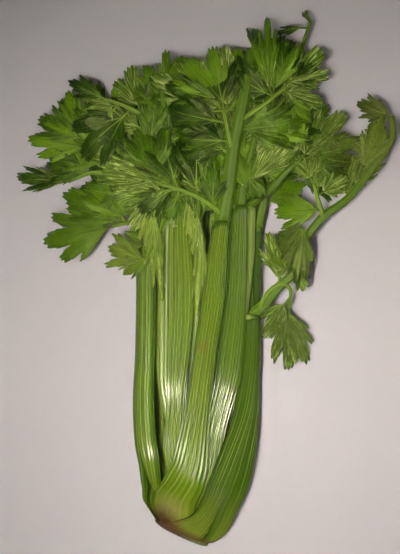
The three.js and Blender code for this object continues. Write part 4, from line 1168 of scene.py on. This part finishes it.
# Moist stalk skin: strings stand up as pale crests, with deeper green channels between them, and a
# waxy gloss breaks into glints on the crests.
def stalk_skin(name, settings, foot):
    material, tree, shader = new_material(name)
    layers = layer_values(tree)
    grain = stretched(tree, layers, 0.4, 0.006)
    streak = add(tree, "TexNoise", {"Scale": 1.0, "Detail": 3.0}, {"Vector": grain}).outputs["Fac"]
    fine_grain = stretched(tree, layers, 3.2, 0.016)
    fine = add(tree, "TexNoise", {"Scale": 1.0, "Detail": 2.0}, {"Vector": fine_grain}).outputs["Fac"]
    body = tint(tree, levels(tree, streak, 0.32, 0.68), settings.channel[:], settings.flank[:])
    raised = levels(tree, layers["ridge"], 0.2, 0.95, 0.0, 0.65)
    plain = levels(tree, layers["along"], 25.0, 75.0, 0.3 if foot else 1.0, 1.0)
    crest = add(tree, "Math", {"operation": "MULTIPLY"}, {0: raised, 1: plain}).outputs[0]
    crest = tint(tree, crest, body, settings.crest[:])
    lined = tint(tree, levels(tree, fine, 0.5, 0.7, 0.0, 0.25), crest, settings.crest[:])
    # Darkens toward the deep green by each piece's tone: painted shade on the right-hand stalks, the
    # piece's own tone elsewhere.
    toned_and_shaded = tint(tree, levels(tree, layers["tone"], 0.0, 1.0, 0.0, 0.85), lined, settings.deep[:])
    colour = tint(tree, levels(tree, layers["under"], 0.0, 1.0, 0.0, 0.7), toned_and_shaded, settings.inner[:])
    if not foot:
        colour = marked(tree, colour, LEAF_MARKS, LEAF_MARK_STRENGTH)
    if foot:
        pale = levels(tree, layers["along"], 46.0, 6.0, 0.0, 0.5)
        colour = tint(tree, pale, colour, settings.foot[:])
        # Paler strings in a band above the foot: partly their own paler colour, partly a painted
        # highlight along the part of the crests that glints, fading again at the very foot.
        low = levels(tree, layers["along"], 140.0, 80.0, 0.0, 0.45)
        high = levels(tree, layers["along"], 25.0, 75.0, 0.1, 1.0)
        pale_and_glint_band = add(tree, "Math", {"operation": "MULTIPLY"}, {0: low, 1: high}).outputs[0]
        strings = levels(tree, layers["ridge"], 0.5, 0.95)
        both = add(tree, "Math", {"operation": "MULTIPLY"}, {0: pale_and_glint_band, 1: strings})
        colour = tint(tree, both.outputs[0], colour, linear(PALE_STRING_AND_GLINT))
        # Painted shade: each stalk darkens toward the deep green at its rounded sides, as if they turned
        # from the light.
        colour = tint(tree, levels(tree, layers["edge"], 0.45, 1.0, 0.0, 0.85), colour, settings.deep[:])
        colour = tint(tree, levels(tree, layers["edge"], 1.4, 2.4, 0.0, 0.7), colour, linear(PALE_JOINT))
        colour = marked(tree, colour, FOOT_MARKS)
        rim = levels(tree, layers["along"], 6.0, 0.5, 0.0, 0.9)
        colour = tint(tree, rim, colour, linear(CUT_RIM))
    tree.links.new(colour, shader.inputs["Base Color"])
    rough = levels(tree, fine, 0.3, 0.7, settings.gloss, settings.gloss + 0.1)
    tree.links.new(rough, shader.inputs["Roughness"])
    bumps = add(tree, "Bump", {"Strength": 0.35, "Distance": 0.3 * MM}, {"Height": fine})
    skin = add(tree, "TexCoord").outputs["Object"]
    pore_size = {"Scale": 1 / (0.8 * MM), "Detail": 2.0}
    pores = add(tree, "TexNoise", pore_size, {"Vector": skin}).outputs["Fac"]
    links = {"Height": pores, "Normal": bumps.outputs[0]}
    fine_bumps = add(tree, "Bump", {"Strength": 0.25, "Distance": 0.08 * MM}, links)
    tree.links.new(fine_bumps.outputs[0], shader.inputs["Normal"])
    shader.inputs["IOR"].default_value = 1.42
    shader.inputs["Specular IOR Level"].default_value = 0.12
    if foot:
        wet = levels(tree, layers["along"], 42.0, 105.0, 0.04, 0.75)
        tree.links.new(wet, shader.inputs["Specular IOR Level"])
    return material


# Fresh leaf: a dark, slightly shiny upper side and a paler, duller underside, with veins that fan
# from the base to the lobes and quilt the blade between them.
def leaf_skin(name, settings):
    material, tree, shader = new_material(name)
    layers = layer_values(tree)
    fan = stretched(tree, layers, 0.5, 0.09)
    veins = {"Scale": 1.0, "Detail": 3.0, "Distortion": 0.5}
    ray = add(tree, "TexNoise", veins, {"Vector": fan}).outputs["Fac"]
    blotch = patches(tree, 12, 0.35, 0.7)
    upper = tint(tree, blotch, settings.upper_dark[:], settings.upper[:])
    upper = tint(tree, levels(tree, ray, 0.54, 0.66, 0.0, 0.6), upper, settings.upper_vein[:])
    lower = tint(tree, levels(tree, ray, 0.35, 0.65), settings.under_dark[:], settings.under[:])
    lower = tint(tree, levels(tree, ray, 0.55, 0.65, 0.0, 0.8), lower, settings.under_vein[:])
    upper = tint(tree, levels(tree, layers["tone"], 0.3, 1.0, 0.0, 0.7), upper, settings.upper_light[:])
    # The darkest tones, taken mostly by the leaves under the others, are painted shade among the leaves;
    # other tones are each leaf's own.
    upper = tint(tree, levels(tree, layers["tone"], 0.35, 0.0, 0.0, 0.6), upper, settings.upper_dark[:])
    lower = tint(tree, levels(tree, layers["tone"], 0.6, 1.0, 0.0, 0.45), lower, settings.under_dark[:])
    vein = levels(tree, layers["ridge"], 0.35, 0.95, 0.0, 0.5)
    upper = tint(tree, vein, upper, settings.upper_vein[:])
    lower = tint(tree, vein, lower, settings.under_vein[:])
    colour = tint(tree, layers["under"], upper, lower)
    colour = marked(tree, colour, LEAF_MARKS, LEAF_MARK_STRENGTH)
    tree.links.new(colour, shader.inputs["Base Color"])
    rough = levels(tree, layers["under"], 0.0, 1.0, settings.gloss, settings.gloss + 0.14)
    tree.links.new(rough, shader.inputs["Roughness"])
    raised = levels(tree, ray, 0.3, 0.7)
    bumps = add(tree, "Bump", {"Strength": 0.7, "Distance": 0.45 * MM}, {"Height": raised})
    quilt = patches(tree, 3.2, 0.3, 0.7, 2.0)
    links = {"Height": quilt, "Normal": bumps.outputs[0]}
    quilted = add(tree, "Bump", {"Strength": 0.6, "Distance": 0.7 * MM}, links)
    tree.links.new(quilted.outputs[0], shader.inputs["Normal"])
    shader.inputs["IOR"].default_value = 1.4
    shader.inputs["Specular IOR Level"].default_value = 0.42
    shader.inputs["Specular Tint"].default_value = linear("e6f0a8")
    return material


# Dried cut root: corky, fibrous and matt, in uneven browns with darker rings.
def root_skin(name):
    material, tree, shader = new_material(name)
    layers = layer_values(tree)
    blotch = patches(tree, 6, 0.3, 0.7)
    colour = tint(tree, blotch, linear("5f4529"), linear("8d744a"))
    colour = tint(tree, levels(tree, layers["ridge"], 0.2, 0.9, 0.0, 0.5), colour, linear("4d3820"))
    colour = marked(tree, colour, ROOT_MARKS)
    tree.links.new(colour, shader.inputs["Base Color"])
    grit = patches(tree, 1.2, 0.3, 0.7, 4.0)
    bumps = add(tree, "Bump", {"Strength": 0.7, "Distance": 0.6 * MM}, {"Height": grit})
    tree.links.new(bumps.outputs[0], shader.inputs["Normal"])
    shader.inputs["Roughness"].default_value = 0.85
    return material


# A plain matt tabletop.
def table_top(name, colour):
    material, tree, shader = new_material(name)
    duller = [channel * 0.96 for channel in colour[:3]] + [1]
    pale = tint(tree, patches(tree, 260, 0.3, 0.7), colour[:], duller)
    tree.links.new(pale, shader.inputs["Base Color"])
    shader.inputs["Roughness"].default_value = 0.9
    shader.inputs["Specular IOR Level"].default_value = 0.0
    return material


# ------------------------------------------------------------------ settings


def colour_setting(name, description, code):
    return bpy.props.FloatVectorProperty(
        name=name, description=description, size=4, subtype="COLOR", min=0, max=1, default=linear(code)
    )


def gloss_setting(description, roughness):
    """A roughness that a user may set."""
    return bpy.props.FloatProperty(
        name="Roughness", description=description, default=roughness, min=0, max=1
    )


def light_setting(name, description, power):
    """A light's power that a user may set."""
    return bpy.props.FloatProperty(
        name=name, description=description, default=power, min=0, unit="POWER"
    )


class StalkSettings(bpy.types.PropertyGroup):
    ribs: bpy.props.IntProperty(name="Ribs", description="Ribs on a stalk that shows", default=9, min=3)
    hidden_ribs: bpy.props.IntProperty(
        name="Hidden ribs", description="Ribs on a stalk under the others", default=5, min=3
    )
    rib_height: bpy.props.FloatProperty(
        name="Rib height", description="From channel to crest", default=1.0 * MM, min=0, unit="LENGTH"
    )
    gloss: gloss_setting("Roughness of the moist skin", 0.17)
    crest: colour_setting("Crest", "The strings' crests", "94a236")
    flank: colour_setting("Flank", "The skin beside the crests", "6c8410")
    channel: colour_setting("Channel", "The bottoms of the channels", "456006")
    # Deep is also painted shade, on the right-hand stalks and at every stalk's rounded sides.
    deep: colour_setting("Deep", "The darker stalks", "2f4c04")
    inner: colour_setting("Inner face", "The hollow inner face", "94a348")
    foot: colour_setting("Foot", "The paler foot", "8a8f34")


class YoungSettings(bpy.types.PropertyGroup):
    gloss: gloss_setting("Roughness of young stalks and stems", 0.32)
    crest: colour_setting("Crest", "The strings' crests", "a2ae58")
    flank: colour_setting("Flank", "The skin beside the crests", "83933a")
    channel: colour_setting("Channel", "The bottoms of the channels", "6c802a")
    # Deep is also painted shade at the inner stalks' rounded sides.
    deep: colour_setting("Deep", "The darker stems", "5f7a20")
    inner: colour_setting("Inner face", "The inner face", "a5b35c")
    foot: colour_setting("Foot", "The paler foot", "a3a85a")


class StemSettings(bpy.types.PropertyGroup):
    gloss: gloss_setting("Roughness of the leaf stems", 0.45)
    crest: colour_setting("Crest", "The strings' crests", "93a83e")
    flank: colour_setting("Flank", "The skin beside the crests", "6f8a26")
    channel: colour_setting("Channel", "The bottoms of the channels", "527010")
    deep: colour_setting("Deep", "The darker stems", "3a5606")
    inner: colour_setting("Inner face", "The inner face", "8fa14a")
    foot: colour_setting("Foot", "The paler foot", "8fa14a")


class LeafSettings(bpy.types.PropertyGroup):
    hidden: bpy.props.IntProperty(
        name="Hidden leaves",
        description="Leaves tried along each stem, under the others",
        default=4,
        min=0,
    )
    gloss: gloss_setting("Roughness of the upper side", 0.28)
    upper: colour_setting("Upper side", "The upper side of a leaf", "466c08")
    upper_dark: colour_setting("Dark upper side", "Its darker patches", "142c02")
    upper_light: colour_setting("Light upper side", "The upper side of a lighter leaf", "6f9214")
    upper_vein: colour_setting("Upper vein", "Veins on the upper side", "7d9636")
    under: colour_setting("Underside", "The underside of a leaf", "728c2c")
    under_dark: colour_setting("Dark underside", "Its darker patches", "36500a")
    under_vein: colour_setting("Underside vein", "Veins on the underside", "b4be6c")


class HeartSettings(bpy.types.PropertyGroup):
    gloss: gloss_setting("Roughness of the heart leaves", 0.42)
    upper: colour_setting("Upper side", "The upper side of a heart leaf", "82922c")
    upper_dark: colour_setting("Dark upper side", "Its darker patches", "56701a")
    upper_light: colour_setting("Light upper side", "The upper side of a lighter leaf", "95a03a")
    upper_vein: colour_setting("Upper vein", "Veins on the upper side", "b2bc68")
    under: colour_setting("Underside", "The underside of a heart leaf", "8e9c46")
    under_dark: colour_setting("Dark underside", "Its darker patches", "667c22")
    under_vein: colour_setting("Underside vein", "Veins on the underside", "bcc67a")


class StageSettings(bpy.types.PropertyGroup):
    floor: colour_setting("Floor", "The plain floor", "bdb6b2")
    height: bpy.props.FloatProperty(
        name="Camera height", description="Above the floor", default=2.2, min=0.5, unit="LENGTH"
    )
    view: bpy.props.FloatProperty(
        name="View", description="Length of floor in the picture's height", default=0.421, unit="LENGTH"
    )
    key: light_setting("Key light", "Narrow light from above, which leaves the floor's rim dimmer", 1.0)
    spark: light_setting("Spark", "Small light that only glints on wet skin", 140)
    fill: light_setting("Fill light", "Soft light from above", 3.5)
    room: bpy.props.FloatProperty(
        name="Room light", description="Strength of the even light all round", default=0.14, min=0
    )


SETTINGS = (
    ("celery_stalk", StalkSettings),
    ("celery_young", YoungSettings),
    ("celery_stem", StemSettings),
    ("celery_leaf", LeafSettings),
    ("celery_heart", HeartSettings),
    ("celery_stage", StageSettings),
)


# ------------------------------------------------------------------ operators


class CELERY_OT_stage(bpy.types.Operator):
    """Lays the floor, sets soft lights and puts the camera above the head."""

    bl_idname = "celery.stage"
    bl_label = "Stage"

    def execute(self, context):
        scene = context.scene
        settings = scene.celery_stage
        bm = bmesh.new()
        bmesh.ops.create_grid(bm, x_segments=1, y_segments=1, size=FLOOR_SIZE)
        mesh = bpy.data.meshes.new("floor")
        bm.to_mesh(mesh)
        bm.free()
        mesh.materials.append(table_top("matt tabletop", settings.floor))
        floor = bpy.data.objects.new("floor", mesh)
        scene.collection.objects.link(floor)

        world = bpy.data.worlds.new("soft room")
        world.use_nodes = True
        world.node_tree.nodes["Background"].inputs["Color"].default_value = linear("f4f2f0")
        world.node_tree.nodes["Background"].inputs["Strength"].default_value = settings.room
        scene.world = world
        for name, power, size, spread, spot, target in (
            ("key", settings.key, (0.16, 0.16), 22, (-0.16, -0.08, 2.3), (0.035, -0.09, 0.03)),
            ("fill", settings.fill, (2.4, 2.4), 180, (0.2, -0.2, 2.6), (0, 0, 0)),
            ("spark", settings.spark, (0.22, 0.6), 180, (-0.16, -0.85, 2.1), (0, -0.1, 0.08)),
        ):
            light = bpy.data.lights.new(name, "AREA")
            light.energy = power
            light.color = (1, 0.92, 0.7) if name == "spark" else (1, 1, 1)
            light.shape = "RECTANGLE"
            light.size, light.size_y = size
            light.spread = math.radians(spread)
            lamp = bpy.data.objects.new(name, light)
            lamp.location = spot
            aim = Vector(target) - lamp.location
            lamp.rotation_mode = "QUATERNION"
            lamp.rotation_quaternion = aim.to_track_quat("-Z", "Y")
            lamp.visible_diffuse = name != "spark"
            lamp.visible_glossy = name == "spark"
            scene.collection.objects.link(lamp)

        camera = bpy.data.cameras.new("camera")
        away = settings.height - VIEW_LEVEL * MM
        camera.sensor_width = 36
        camera.lens = camera.sensor_width * away / settings.view
        camera.clip_start, camera.clip_end = 0.1, 20
        eye = bpy.data.objects.new("camera", camera)
        eye.location = (VIEW_CENTRE[0] * MM, VIEW_CENTRE[1] * MM, settings.height)
        scene.collection.objects.link(eye)
        scene.camera = eye
        scene.view_settings.view_transform = "Standard"
        return {"FINISHED"}


class CELERY_OT_root(bpy.types.Operator):
    """Makes the trimmed root end."""

    bl_idname = "celery.root"
    bl_label = "Root end"

    def execute(self, context):
        total = new_mesh()
        gather(total, root_mesh())
        finish_piece("cut_root", total, [root_skin("dried cut root")], "root", "root_plate")
        return {"FINISHED"}


class CELERY_OT_stalks(bpy.types.Operator):
    """Makes every ribbed stalk, outer and inner."""

    bl_idname = "celery.stalks"
    bl_label = "Stalks"

    def execute(self, context):
        scene = context.scene
        green = stalk_skin("moist stalk skin", scene.celery_stalk, True)
        pale = stalk_skin("moist inner stalk skin", scene.celery_young, True)
        for seed, name in enumerate(STALKS):
            total = new_mesh()
            gather(total, stalk_mesh(name, scene.celery_stalk, seed))
            inner = name.startswith("inner")
            slot, skin = ("inner_stalk", pale) if inner else ("stalk", green)
            finish_piece("ribbed_" + name, total, [skin], slot, name)
        return {"FINISHED"}


class CELERY_OT_heart(bpy.types.Operator):
    """Makes the pale heart."""

    bl_idname = "celery.heart"
    bl_label = "Heart"

    def execute(self, context):
        scene = context.scene
        materials = [leaf_skin("young heart leaf", scene.celery_heart)]
        materials.append(stalk_skin("young heart stem", scene.celery_young, False))
        finish_piece("pale_heart", heart_mesh(HEART_SEED), materials, "heart", "heart")
        return {"FINISHED"}


class CELERY_OT_fronds(bpy.types.Operator):
    """Makes the leafy top of every stalk."""

    bl_idname = "celery.fronds"
    bl_label = "Leafy tops"

    def execute(self, context):
        scene = context.scene
        blade = leaf_skin("fresh celery leaf", scene.celery_leaf)
        stem = stalk_skin("celery leaf stem", scene.celery_stem, False)
        for seed, (name, spec) in enumerate(FRONDS.items()):
            own = name.replace("frond_inner", "inner").replace("frond", "stalk")
            top = stalk_top(STALKS[own])
            extra = MORE_LEAVES.get(name, ())
            total = frond_mesh(spec, top, FROND_SEED + seed, extra, scene.celery_leaf.hidden)
            finish_piece("leafy_" + name, total, [blade, stem], "leaf", name)
        return {"FINISHED"}


OPERATORS = (CELERY_OT_stage, CELERY_OT_root, CELERY_OT_stalks, CELERY_OT_heart, CELERY_OT_fronds)


class CELERY_PT_panel(bpy.types.Panel):
    """Lists the steps and the sizes and colours that they use."""

    bl_idname = "CELERY_PT_panel"
    bl_label = "Head of celery"
    bl_space_type = "VIEW_3D"
    bl_region_type = "UI"
    bl_category = "Celery"

    def draw(self, context):
        for operator in OPERATORS:
            self.layout.operator(operator.bl_idname)
        for name, group in SETTINGS:
            box = self.layout.box()
            for key in group.__annotations__:
                box.prop(getattr(context.scene, name), key)


def register():
    for name, group in SETTINGS:
        bpy.utils.register_class(group)
        setattr(bpy.types.Scene, name, bpy.props.PointerProperty(type=group))
    for cls in (*OPERATORS, CELERY_PT_panel):
        bpy.utils.register_class(cls)


def unregister():
    for cls in reversed((*OPERATORS, CELERY_PT_panel)):
        bpy.utils.unregister_class(cls)
    for name, group in reversed(SETTINGS):
        delattr(bpy.types.Scene, name)
        bpy.utils.unregister_class(group)


def main():
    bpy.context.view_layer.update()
    register()
    bpy.ops.celery.stage()
    bpy.ops.celery.root()
    bpy.ops.celery.stalks()
    bpy.ops.celery.heart()
    bpy.ops.celery.fronds()
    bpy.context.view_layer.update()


if __name__ == "__main__":
    main()
